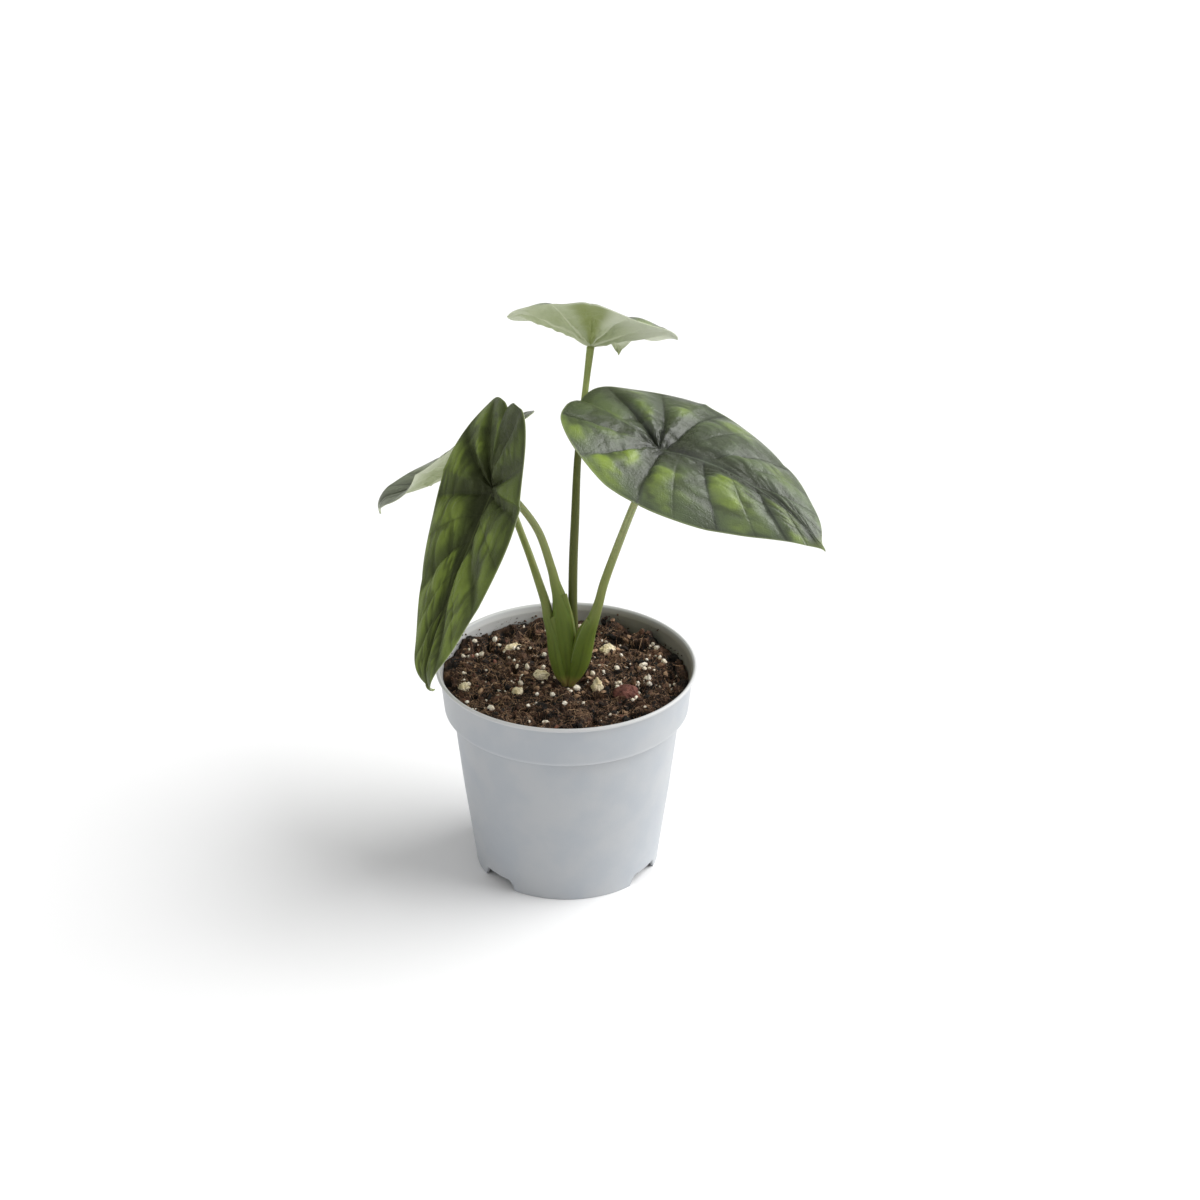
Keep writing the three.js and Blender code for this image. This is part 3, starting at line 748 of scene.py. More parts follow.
@dataclass
class NurseryPot:
    """Round pot: a turned profile whose foot is lifted at four notches, with drain holes in its floor."""

    height: float = 101.0
    lip: float = 60.0
    sectors: int = 240
    floor_top: float = 6.7
    centre: float = 26.0
    foot: float = 42.3
    notch_angles: tuple[float, ...] = (-48.3, 57.7, 131.7, 237.7)
    notch_top: float = 19.5
    notch_slope: float = 4.5
    notch_height: float = 5.4
    drain_radius: float = 3.0
    drain_circle: float = 35.0
    drain_turn: float = 9.0
    step_low: float = 78.9
    step_high: float = 80.2
    step_fade: float = 0.8
    bend: float = 0.45

    def outline(self) -> Array:
        """Profile from the middle of the underside round the lip to the middle inside. On the outside there
        is a point 2 mm below and above the step, so that its shade stays narrow.

        Returns:
            Radius and height of each corner.
        """
        h, lip = self.height, self.lip
        under = self.floor_top - 1.2
        rows = [
            (0, 0), (self.centre, 0), (self.centre + 3, under), (self.foot - 1.3, under),
            (self.foot - 1.1, 0), (self.foot, 0), (self.foot + 0.6, 5.5), (47.7, 40), (52.062, 76.6),
            (52.3, 78.6), (52.7, 79.2), (55.7, 79.6), (56.2, 80.2), (56.394, 82.0), (58.2, h - 2.2),
            (lip - 0.5, h - 1.9), (lip, h - 1.3), (lip, h - 0.6), (lip - 0.5, h - 0.1), (lip - 1.1, h),
            (lip - 1.7, h - 0.5), (57.1, h - 3), (55.1, 81.4), (54.6, 80.6), (51.6, 80.0), (51.2, 78.2),
            (46.6, 40),
            (self.foot - 0.5, self.floor_top), (self.centre + 2.2, self.floor_top), (self.centre - 0.8, 1.2),
            (0, 1.2),
        ]
        return np.array(rows, float)

    def rounded(self) -> Array:
        """The profile with each corner cut by a small curve: the corner's two neighbours on its edges,
        bend millimetres away, are joined by a parabola, with one more point on each straight beyond.

        Returns:
            Radius and height of each point.
        """
        rows = self.outline()
        inner = rows[1:-1]
        back, ahead = rows[:-2] - inner, rows[2:] - inner
        reach = np.minimum(self.bend, 0.3 * np.linalg.norm(back, axis=1))[:, None]
        reach_on = np.minimum(self.bend, 0.3 * np.linalg.norm(ahead, axis=1))[:, None]
        start, end = inner + unit(back) * reach, inner + unit(ahead) * reach_on
        shares = np.linspace(0.0, 1.0, 4)[None, :, None]
        arcs = (1 - shares) ** 2 * start[:, None] + 2 * shares * (1 - shares) * inner[:, None]
        arcs = arcs + shares**2 * end[:, None]
        before = (inner + unit(back) * reach * 1.5)[:, None]
        after = (inner + unit(ahead) * reach_on * 1.5)[:, None]
        middle = np.concatenate([before, arcs, after], axis=1).reshape(-1, 2)
        return np.concatenate([rows[:1], middle, rows[-1:]])

    def lift(self, turn: Array) -> Array:
        """Height of the foot's lower edge: the notch's height within its top, and a straight fall on its
        slopes.

        Args:
            turn: angles in degrees.

        Returns:
            The height at each angle.
        """
        away = np.stack([np.abs((turn - a + 180.0) % 360.0 - 180.0) for a in self.notch_angles]).min(0)
        share = 1.0 - (away - self.notch_top / 2) / self.notch_slope
        return self.notch_height * np.clip(share, 0.0, 1.0)

    def turns(self) -> Array:
        """Angles of the sectors, with extra ones at the corners of the notches.

        Returns:
            The angles in degrees, from the first round to the first again.
        """
        even = np.linspace(-180.0, 180.0, self.sectors, endpoint=False)
        half = self.notch_top / 2
        end = half + self.notch_slope
        steps = np.array([half - 0.2, half, half + 0.15, end - 0.15, end])
        extra = np.array([a + side * s for a in self.notch_angles for side in (-1, 1) for s in steps])
        extra = (extra + 180.0) % 360.0 - 180.0
        every = np.unique(np.round(np.concatenate([even, extra]), 4))
        return np.append(every, every[0] + 360.0)

    def shape(self) -> Shape:
        """The turned surface: x = r sin a, y = -r cos a, and z lifted to the notch's edge near the foot.

        Returns:
            The pot without its drain holes.
        """
        profile = self.rounded()
        turn = self.turns()
        r, z = profile[:, 0][:, None], profile[:, 1][:, None]
        number = np.arange(len(r))[:, None]
        low = self.lift(turn)[None, :]
        on_foot = (r > self.foot - 1.35) & (z < self.notch_height) & (number < len(r) // 2)
        z_all = np.where(on_foot, np.maximum(z, low - 0.02 * (self.notch_height - z)), z + 0 * low)
        r_all = r + 0 * low
        a = np.radians(turn)[None, :]
        points = np.stack([r_all * np.sin(a), -r_all * np.cos(a), z_all], -1)
        inside = number > np.argmax(profile[:, 1])
        return Shape.of_sheets([Sheet(points, self.marks(r_all, z_all, points[..., 0], inside))])

    def marks(self, r: Array, z: Array, x: Array, inside: Array) -> dict[str, Array]:
        """Values for the finish: smooth steps of height and radius at the rim and inside, painted shade with
        a stain that grows to the right, and a painted shade and a painted highlight line that fade with the
        height from the step's two edges.

        Args:
            r: radii.
            z: heights.
            x: places from left to right.
            inside: which points lie on the inner wall.

        Returns:
            The values by name.
        """
        top, lip = self.height, self.lip
        inner = smooth(top - 0.3, top - 1.6, z) * inside
        # Painted shade under the step, fading downward from its lower edge
        below = np.exp(np.minimum(z - self.step_low, 0.0) / self.step_fade)
        return {
            "rim": smooth(top - 2.0, top - 1.2, z) * smooth(lip - 2.0, lip - 1.6, r),
            "dust": np.where(inside, smooth(99.0, 90.0, z), 0.0),
            "inner": inner,
            # Painted shade mixed with a dust stain, growing to the right inside
            "shade_and_stain": smooth(-30.0, 30.0, x) * inner,
            # Painted shade below the step and a painted highlight on its ledge
            "below": np.where(inside | (r > 53.0), 0.0, below),
            "ledge_highlight": np.where(inside | (r < 55.4), 0.0, bell(z - self.step_high, self.step_fade)),
        }

    def drill(self, pot: Any) -> None:
        """Cuts the eight drain holes with one Boolean of eight short rods, each a turned profile of four
        points.

        Args:
            pot: the pot's object.
        """
        ring = np.linspace(0.0, 2 * np.pi, 25)
        low, high = self.floor_top - 4, self.floor_top + 3
        levels = np.array([low, low, high, high])
        radii = np.array([0.0, self.drain_radius, self.drain_radius, 0.0])
        sheets = []
        for turn in [np.radians(a + side * self.drain_turn) for a in self.notch_angles for side in (-1, 1)]:
            x = self.drain_circle * np.sin(turn) + radii[:, None] * np.cos(ring)
            y = -self.drain_circle * np.cos(turn) + radii[:, None] * np.sin(ring)
            sheets.append(Sheet(np.stack([x, y, levels[:, None] + 0 * x], -1)))
        cutter = Shape.of_sheets(sheets).as_object("drain_rods")
        cut = pot.modifiers.new("drains", "BOOLEAN")
        cut.object, cut.operation, cut.solver = cutter, "DIFFERENCE", "EXACT"
        graph = bpy.context.evaluated_depsgraph_get()
        result = bpy.data.meshes.new_from_object(pot.evaluated_get(graph))
        pot.modifiers.clear()
        pot.data = result
        bpy.data.objects.remove(cutter)

    def build(self) -> None:
        """Makes the pot."""
        pot = self.shape().build("nursery_pot", PotFinish().material(), Slot.POT, ["pot"])
        self.drill(pot)


# Potting mix


@dataclass
class PottingMix:
    """The mix: a rough surface, crumbs, grit, root fibres, perlite, stones, bark and flakes. Its level is
    read at the bed's radius near the wall."""

    level: float = 93.0
    dip: float = 1.6
    lump_height: float = 1.1
    lumps: int = 46
    crown: tuple[float, float] = CROWN_AT
    bed: float = 54.0
    lump_seed: int = 7
    seed: int = 11
    rings: int = 144
    sectors: int = 480
    gap: float = 0.3
    crumbs: int = 1900
    grit: int = 9000
    shards: int = 1500
    fibres: int = 4600
    perlite: int = 320
    drift: int = 150
    flakes: int = 46
    # Where the specks on the pot's wall gather, in radians
    drift_angles: tuple[float, ...] = (2.55, 2.2, 1.95, 2.9, 1.2, 0.6, -2.2)
    # Corners of the pot's inside as height and radius
    inner_wall: tuple[tuple[float, float], ...] = (
        (1.2, 25.2), (6.7, 41.8), (40.0, 46.6), (78.2, 51.2), (80.0, 51.6), (80.6, 54.6), (81.4, 55.1),
        (98.0, 57.1), (100.5, 58.3),
    )
    # Each clod's place, width and height
    clods: tuple[tuple[float, float, float, float], ...] = (
        (34, 35, 6.5, 4.2), (41, 38, 5, 3.8), (-11, 49, 6, 3.8), (20, 48, 5, 4.8), (-46, 30, 8, 5.2),
        (-51, 8, 10, 4.0), (48, 18, 6, 1.8), (-26, 46, 6, 2.6), (-33, -38, 8, 1.4), (8, -44, 9, 1.2),
    )
    # Each crumb's place, height over the mix and three half sizes
    heap: tuple[tuple[float, ...], ...] = (
        (17.2, 51.5, 1.8, 1.4, 1.2, 1.9), (18.2, 51.0, 4.2, 0.8, 0.8, 1.5), (16.5, 52.0, 4.6, 0.5, 0.5, 1.6),
        (20.0, 50.0, 1.5, 1.6, 1.2, 1.4), (15.2, 52.6, 1.0, 1.2, 1.0, 1.3), (21.5, 49.0, 1.2, 1.3, 1.1, 1.1),
    )
    # Each pumice stone's turn in degrees and three half sizes
    stones: tuple[tuple[float, tuple[float, float, float]], ...] = (
        (20, (4.0, 3.4, 3.0)), (65, (4.2, 3.6, 3.2)), (10, (2.8, 3.6, 4.0)),
        (25, (5.6, 2.6, 2.4)), (140, (3.2, 2.6, 2.4)), (80, (3.0, 2.6, 2.3)),
    )
    chip: tuple[float, tuple[float, float, float]] = (12, (6.2, 5.0, 4.4))
    soil: SoilFinish = SoilFinish()
    litter: SoilFinish = SoilFinish(brown=(0.085, 0.040, 0.021), tan=(0.44, 0.28, 0.17))
    flaky: SoilFinish = SoilFinish(
        brown=(0.10, 0.036, 0.024), tan=(0.24, 0.10, 0.066), red=(0.20, 0.07, 0.05)
    )
    pumice: StoneFinish = StoneFinish()
    grain: StoneFinish = StoneFinish(
        "perlite", light=(0.93, 0.87, 0.76), shade=(0.74, 0.65, 0.50), soil=(0.3, 0.22, 0.14), pit_mm=0.7
    )
    bark: StoneFinish = StoneFinish(
        "bark", light=(0.20, 0.080, 0.062), shade=(0.10, 0.036, 0.028), soil=(0.03, 0.014, 0.01), pit_mm=1.2,
    )

    def __post_init__(self) -> None:
        """Draws the lumps by the same rule as the CAD solid: state times 16807, modulo 2^31 - 1."""
        modulus = 2**31 - 1
        state = self.lump_seed
        draws = []
        for _ in range(4 * self.lumps):
            state = (state * 16807) % modulus
            draws.append(state / modulus)
        angle, share, width, height = np.array(draws).reshape(self.lumps, 4).T
        r = 52 * np.sqrt(share)
        angle = 2 * np.pi * angle
        rise = self.lump_height * (2 * height - 0.8)
        lumps = np.stack([r * np.cos(angle), r * np.sin(angle), 3 + 4 * width, rise], -1)
        self.swells = np.vstack([lumps, self.clods])
        self.random = np.random.default_rng(self.seed)

    def base_height(self, x: Array, y: Array) -> Array:
        """Level less the dip at the right and back and a hollow for the plant, plus a bell for each lump and
        clod, calmed round the plant.

        Args:
            x: places from left to right.
            y: places from front to back.

        Returns:
            The height at each place.
        """
        right = smooth(6, 50, x) * smooth(-55, 30, y)
        back = 0.25 * smooth(25, 55, y)
        swell = np.zeros(np.shape(x))
        for at_x, at_y, width, height in self.swells:
            swell = swell + height * np.exp(-((x - at_x) ** 2 + (y - at_y) ** 2) / width**2)
        away = self.from_crown(x, y)
        return self.level - 2.0 * bell(away, 9.0) - self.dip * (right + back) + swell * smooth(7, 14, away)

    def from_crown(self, x: Array, y: Array) -> Array:
        """Distance from the middle of the plant."""
        return np.hypot(x - self.crown[0], y - self.crown[1])

    def bed_height(self, angle: Array) -> Array:
        """Base height near the pot's wall, at angles in radians."""
        return self.base_height(self.bed * np.cos(angle), self.bed * np.sin(angle))

    def height(self, x: Array, y: Array) -> Array:
        """Base height plus noise of three sizes, the middle one folded into ridges, less pits of two sizes
        where two more noises are high, all of it a quarter as strong next to the plant.

        Args:
            x: places from left to right.
            y: places from front to back.

        Returns:
            The height at each place.
        """
        place = np.stack([x, y, 0 * x], -1)
        rough = 1.7 * octaves(place, 7.0, 3) + 1.7 * (0.45 - np.abs(octaves(place, 2.8, 9)))
        rough = rough + 0.3 * field_noise(place, 0.9, 19)
        wide = smooth(0.30, 0.62, field_noise(place, 6.0, 15))
        small = smooth(0.35, 0.7, field_noise(place, 2.6, 16))
        pits = 3.2 * wide + 1.5 * small
        clear = smooth(5.5, 9.0, self.from_crown(x, y))
        return self.base_height(x, y) + (rough - pits) * (0.25 + 0.75 * clear)

    def wall(self, z: Array) -> Array:
        """Radius of the pot's inside, less the gap, on straight lines between its corners."""
        heights, radii = np.transpose(self.inner_wall)
        return np.interp(z, heights, radii) - self.gap

    def ground(self) -> Shape:
        """Body of the mix, turned about z: from the underside's middle up the pot's wall and over its step,
        then in over the rough top. Next to the step the wall is read a little lower, for an even gap.

        Returns:
            The body, with a tint by noise, and by height over the base as painted shade in the pits and
            painted light on the ridges.
        """
        angle = np.linspace(0.0, 2 * np.pi, self.sectors + 1)
        side_z = np.array([1.5, 1.5, 7.0, 7.0, 25.0, 40.0, 60.0, 78.1, 80.3, 81.8, 84.0, 86.0])
        wall_z = np.array([7.0, 25.0, 40.0, 60.0, 78.1, 79.9, 81.3, 84.0, 86.0])
        side_r = np.concatenate([[0.0, 24.8, 27.8], self.wall(wall_z)])
        share = np.linspace(1.0, 0.0, self.rings) ** 0.8
        edge = self.wall(self.bed_height(angle))
        r = np.concatenate([side_r[:, None] + 0 * edge, share[:, None] * edge])
        x, y = r * np.cos(angle), r * np.sin(angle)
        z = self.height(x, y)
        z[: len(side_z)] = side_z[:, None]
        z[len(side_z):] -= 0.6 * smooth(0.97, 1.0, share)[:, None]
        points = np.stack([x, y, z], -1)
        points[:, -1] = points[:, 0]
        # Height over the base: painted shade in the pits, painted light on the ridges
        tint = 0.30 + 0.45 * octaves(points, 4.0, 21) + 0.14 * (z - self.base_height(x, y))
        return Shape.of_sheets([Sheet(points, {"tint": np.clip(tint, 0, 1)})])

    def scatter(self, count: int, reach: float, clear: float = 6.2) -> tuple[Array, Array]:
        """Even random places on the top, outside the plant's base: radius by the root of a share.

        Args:
            count: how many places.
            reach: largest radius from the pot's axis.
            clear: radius round the plant that stays free.

        Returns:
            The x and y values.
        """
        angle = self.random.uniform(0, 2 * np.pi, 2 * count)
        r = reach * np.sqrt(self.random.uniform(0, 1, 2 * count))
        x, y = r * np.cos(angle), r * np.sin(angle)
        free = self.from_crown(x, y) > clear
        return x[free][:count], y[free][:count]

    def lumps_at(
        self, x: Array, y: Array, sizes: Array, level: int, rise: Array, seed: int
    ) -> tuple[Array, Faces]:
        """Small rough balls: each direction is scaled by its sizes and a noise, tilted about y, turned
        about z, and set down.

        Args:
            x: centres.
            y: centres.
            sizes: three half sizes for each ball.
            level: how finely the ball is split.
            rise: height of each centre over the mix.
            seed: picks the noise.

        Returns:
            Vertices by ball, and the triangles of one.
        """
        directions, faces = ball(level)
        offset = self.random.uniform(0, 90, (len(x), 1, 3))
        rough = 1 + 0.42 * field_noise(directions[None] + offset, 0.75, seed)
        points = directions[None] * rough[..., None] * sizes[:, None, :]
        turn = self.random.uniform(0, 2 * np.pi, len(x))[:, None]
        tilt = self.random.uniform(-0.6, 0.6, len(x))[:, None]
        px, py, pz = points[..., 0], points[..., 1], points[..., 2]
        px, pz = px * np.cos(tilt) - pz * np.sin(tilt), px * np.sin(tilt) + pz * np.cos(tilt)
        qx, qy = px * np.cos(turn) - py * np.sin(turn), px * np.sin(turn) + py * np.cos(turn)
        z = (self.height(x, y) + rise)[:, None]
        return np.stack([qx + x[:, None], qy + y[:, None], pz + z], -1), faces

    def crumb_shape(self) -> Shape:
        """Bark crumbs and peat clods, mostly small, each with its own tint, and a small heap at the back.

        Returns:
            The crumbs.
        """
        x, y = self.scatter(self.crumbs, 52.5)
        size = 0.30 + 1.25 * self.random.uniform(0, 1, len(x)) ** 3.5
        stretch = self.random.uniform(0.45, 1.6, (len(x), 3)) * np.array([1.2, 0.9, 0.75])
        sizes, rise = size[:, None] * stretch, 0.3 * size
        for i, (at_x, at_y, up, *half) in enumerate(self.heap):
            x[i], y[i], rise[i], sizes[i] = at_x, at_y, up, half
        points, faces = self.lumps_at(x, y, sizes, 1, rise, 31)
        tint = np.clip(self.random.normal(0.38, 0.26, len(x)), 0.0, 1.0)
        return Shape.of_copies(points, faces, {"tint": tint})

    def grit_shape(self) -> Shape:
        """Fine grit and slivers of bark: eight-sided grains, the slivers about nine times as long as wide.

        Returns:
            The grains.
        """
        x, y = self.scatter(self.grit + self.shards, 53.0)
        count = len(x)
        size = 0.16 + 0.34 * self.random.uniform(0, 1, count) ** 2
        stretch = self.random.uniform(0.6, 1.4, (count, 3)) * np.array([1.3, 0.9, 0.8])
        sliver = np.arange(count) < self.shards
        stretch[sliver] *= np.array([4.5, 0.7, 0.55])
        points, faces = self.lumps_at(x, y, size[:, None] * stretch, 0, 0.5 * size, 33)
        tint = np.clip(self.random.normal(0.45, 0.3, count) + 0.15 * sliver, 0.0, 1.2)
        return Shape.of_copies(points, faces, {"tint": tint})

    def wall_crumbs(self) -> Shape:
        """Specks of mix that stick to the pot's inside above the mix, in drifts, most of them at the left
        and back: small rough balls on the wall's circle.

        Returns:
            The specks.
        """
        clump = self.random.choice(self.drift_angles, self.drift)
        angle = clump + self.random.normal(0, 0.16, self.drift)
        up = self.random.exponential(1.0, self.drift)
        z = self.bed_height(angle) + np.minimum(up, 4.5)
        r = self.wall(z) + 0.1
        directions, faces = ball(1)
        size = 0.12 + 0.45 * self.random.uniform(0, 1, self.drift) ** 4
        centre = np.stack([r * np.cos(angle), r * np.sin(angle), z], -1)
        rough = 1 + 0.4 * field_noise(directions[None] + 50 * centre[:, None], 0.8, 5)
        points = centre[:, None] + directions[None] * (rough * size[:, None])[..., None]
        return Shape.of_copies(points, faces, {"tint": self.random.uniform(0.05, 0.6, self.drift)})

    def fibre_shape(self) -> Shape:
        """Root and wood fibres: three-sided threads along arcs that lie on the mix and bow up by a half
        sine, with both ends pinched.

        Returns:
            The fibres.
        """
        count, steps, sides = self.fibres, 6, 3
        middle_x, middle_y = self.scatter(count, 50.0, 7.0)
        heading = self.random.uniform(0, 2 * np.pi, count)[:, None]
        bend = self.random.normal(0, 1.5, count)[:, None]
        length = (2.0 + 9.0 * self.random.uniform(0, 1, count) ** 2.2)[:, None]
        lift = self.random.uniform(0.0, 1.5, count)[:, None] * self.random.uniform(0, 1, count)[:, None]
        f = np.linspace(0, 1, steps)[None]
        angle = heading + bend * (f - 0.5)
        x = middle_x[:, None] + length * (f - 0.5) * np.cos(angle)
        y = middle_y[:, None] + length * (f - 0.5) * np.sin(angle)
        pull = np.minimum(1.0, 51.5 / np.maximum(np.hypot(x, y), 1e-6))
        x, y = x * pull, y * pull
        z = self.height(x, y) + 0.25 + lift * np.sin(np.pi * f)
        centre = np.stack([x, y, z], -1)
        along = unit(np.gradient(centre, axis=1))
        side = unit(np.cross(along, np.array([0.0, 0.0, 1.0])))
        over = np.cross(side, along)
        thick = 0.055 + 0.13 * self.random.uniform(0, 1, count) ** 4
        radius = thick[:, None] * np.sin(np.pi * f) ** 0.4
        corner = np.arange(sides) * 2 * np.pi / sides
        ring = side[:, :, None] * np.cos(corner)[:, None] + over[:, :, None] * np.sin(corner)[:, None]
        points = centre[:, :, None] + ring * radius[..., None, None]
        ids = np.arange(steps * sides).reshape(steps, sides)
        beside = np.roll(ids, -1, axis=1)
        a, b, c, d = ids[:-1], beside[:-1], beside[1:], ids[1:]
        faces = np.concatenate([np.stack([a, b, c], -1), np.stack([a, c, d], -1)]).reshape(-1, 3)
        caps = np.array([[0, 2, 1], ids[-1]])
        tint = np.clip(self.random.normal(0.80, 0.4, count), 0.05, 1.5)
        return Shape.of_copies(points.reshape(count, -1, 3), np.concatenate([faces, caps]), {"tint": tint})

    def perlite_shape(self) -> Shape:
        """Cream perlite grains, most of them half a millimetre to three across; two in five lie beside
        another.

        Returns:
            The grains.
        """
        x, y = self.scatter(self.perlite, 51.0)
        count = len(x)
        size = 0.26 + 1.15 * self.random.uniform(0, 1, count) ** 2.9
        number = np.arange(count)
        beside = np.where(number < 0.4 * count, number[::-1], number)
        moved = beside != number
        x = x[beside] + self.random.normal(0, 1.6, count) * moved
        y = y[beside] + self.random.normal(0, 1.6, count) * moved
        stretch = self.random.uniform(0.6, 1.4, (count, 3))
        points, faces = self.lumps_at(x, y, size[:, None] * stretch, 1, 0.45 * size + 0.15, 47)
        return Shape.of_copies(points, faces, {})

    def flake_shape(self) -> Shape:
        """Thin reddish flakes of bark that lie on the mix, two large ones at the front.

        Returns:
            The flakes.
        """
        x, y = self.scatter(self.flakes, 50.0, 9.0)
        x[:2], y[:2] = (-11.1, -31.5), (-24.8, -23.6)
        count = len(x)
        size = self.random.uniform(0.8, 2.0, (count, 1)) * np.array([1.0, 0.62, 0.2])
        size[:2] = (3.4, 1.6, 0.5), (3.0, 1.5, 0.5)
        points, faces = self.lumps_at(x, y, size, 2, np.full(count, 0.35), 35)
        return Shape.of_copies(points, faces, {"tint": self.random.uniform(0.35, 0.9, count)})

    def stone(self, node: str, turn: float, half: Sequence[float], rough: float = 1.0) -> Shape:
        """A stone in the middle of its CAD node's box: a ball scaled to half sizes, dented by noise, pitted
        where another noise is high, and turned about z.

        Args:
            node: the CAD node that it stands for.
            turn: turn about z in degrees.
            half: three half sizes.
            rough: share of the dents' full depth.

        Returns:
            The stone.
        """
        low, high = (np.array(corner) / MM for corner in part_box(node))
        centre = (low + high) / 2
        directions, faces = ball(5)
        dents = 0.26 * octaves(directions + centre, 0.9, 61)
        dents = dents + 0.34 * np.abs(octaves(directions + centre, 0.55, 62)) - 0.16
        points = directions * (1.0 + rough * dents)[:, None] * np.array(half)
        hollow = octaves(points, 0.9, 63)
        points = points - directions * (0.5 * smooth(0.12, 0.5, hollow))[:, None]
        cos, sin = math.cos(math.radians(turn)), math.sin(math.radians(turn))
        spin = np.array([[cos, sin, 0], [-sin, cos, 0], [0, 0, 1]])
        return Shape(points @ spin + centre, faces)

    def build(self) -> None:
        """Makes the mix and what lies in it."""
        self.ground().build("potting_mix", self.soil.material("potting_mix"), Slot.SOIL, ["soil"])
        litter = self.litter.material("mix_litter")
        crumbs = self.crumb_shape().with_shape(self.wall_crumbs())
        crumbs.build("mix_crumbs", litter, Slot.SOIL, rounded=False)
        self.grit_shape().build("mix_grit", litter, Slot.SOIL, rounded=False)
        self.fibre_shape().build("root_fibres", litter, Slot.SOIL)
        self.flake_shape().build("bark_flakes", self.flaky.material("bark_flake"), Slot.SOIL)
        self.perlite_shape().build("perlite_grains", self.grain.material(), Slot.PUMICE, rounded=False)
        pumice = self.pumice.material()
        for number, (turn, half) in enumerate(self.stones, start=1):
            node = f"pumice_{number}"
            self.stone(node, turn, half).build(f"{node}_stone", pumice, Slot.PUMICE, [node])
        chip = self.stone("bark_chip", *self.chip, rough=0.45)
        chip.build("bark_piece", self.bark.material(), Slot.BARK, ["bark_chip"])


# Stalks


# Centre lines of the stalks as x, y, z and the two half widths; the last row lies at the blade's joint
STALK_ROWS = {
    "top": (
        (1.8, 2.2, 87.5, 2.2, 2.2), (2.6, 2.2, 105, 2.2, 2.2), (3.2, 2.5, 120, 2.15, 2.15),
        (3.0, 3.2, 132.7, 2.1, 2.1), (3.3, 5.0, 152.4, 2.05, 2.05), (4.1, 7.0, 171.8, 1.95, 1.95),
        (5.5, 12.0, 202.2, 1.65, 1.65), (9.0, 18.0, 233.2, 1.45, 1.45), (11.3, 21.9, 252.1, 1.8, 1.8),
    ),
    "right": (
        (2.2, -1.6, 87.5, 1.8, 2.0), (2.4, -2.2, 92.6, 2.0, 2.3), (4.2, -2.3, 97.4, 3.5, 3.0),
        (6.0, -2.4, 103.4, 4.6, 3.4), (7.3, -2.7, 110, 4.8, 3.4), (9.2, -3.4, 119, 4.3, 3.0),
        (12.3, -4.4, 127, 2.9, 2.6), (14.8, -5.0, 135.6, 2.2, 2.2), (17.7, -7.0, 148.5, 2.0, 2.0),
        (24.4, -10.0, 170.5, 1.85, 1.85), (30.6, -13.0, 189.8, 1.75, 1.75), (36.7, -16.0, 206.3, 1.8, 1.8),
        (41.8, -18.0, 219.7, 2.1, 2.1),
    ),
    "left": (
        (0.8, 0.3, 87.5, 2.2, 2.6), (0.7, -0.2, 92.6, 2.5, 3.0), (0.3, 0.1, 99, 4.6, 4.0),
        (-0.2, 0.2, 108, 5.2, 4.5), (-0.7, 0.3, 117, 5.1, 4.4), (-1.7, 0.4, 127, 4.6, 4.1),
        (-3.2, 0.4, 136, 3.2, 3.1), (-5.0, 0.5, 143, 2.4, 2.4), (-6.8, 1.0, 150.9, 2.0, 2.0),
        (-12.3, 2.0, 168.3, 1.8, 1.8), (-20.9, 3.5, 181.3, 1.7, 1.7), (-26.9, 4.8, 186.1, 1.8, 1.8),
        (-32.5, 5.5, 188.5, 2.0, 2.0),
    ),
    "back": (
        (-0.6, -1.4, 87.5, 1.7, 2.0), (-0.8, -1.8, 92.6, 1.9, 2.3), (-2.7, -1.7, 97.2, 2.9, 3.1),
        (-4.6, -1.2, 106, 3.5, 3.4), (-6.0, -0.4, 116, 3.0, 3.0), (-8.1, 1.0, 124.5, 2.5, 2.4),
        (-9.4, 2.0, 131.8, 2.2, 2.1), (-12.8, 6.0, 141.5, 1.9, 1.9), (-16.9, 13.0, 151.2, 1.7, 1.7),
        (-23.0, 25.0, 162.9, 1.6, 1.6), (-29.6, 42.0, 174.8, 1.6, 1.6), (-34.8, 58.0, 186.5, 1.8, 1.8),
    ),
}


@dataclass
class Wing:
    """Free margin of a sheath: a thin flap that leaves the stalk's side and ends in a point. It runs from
    the first to the last knot, and its side is -1 on the left and 1 on the right."""

    first: float
    last: float
    side: int
    tip: tuple[float, float, float]


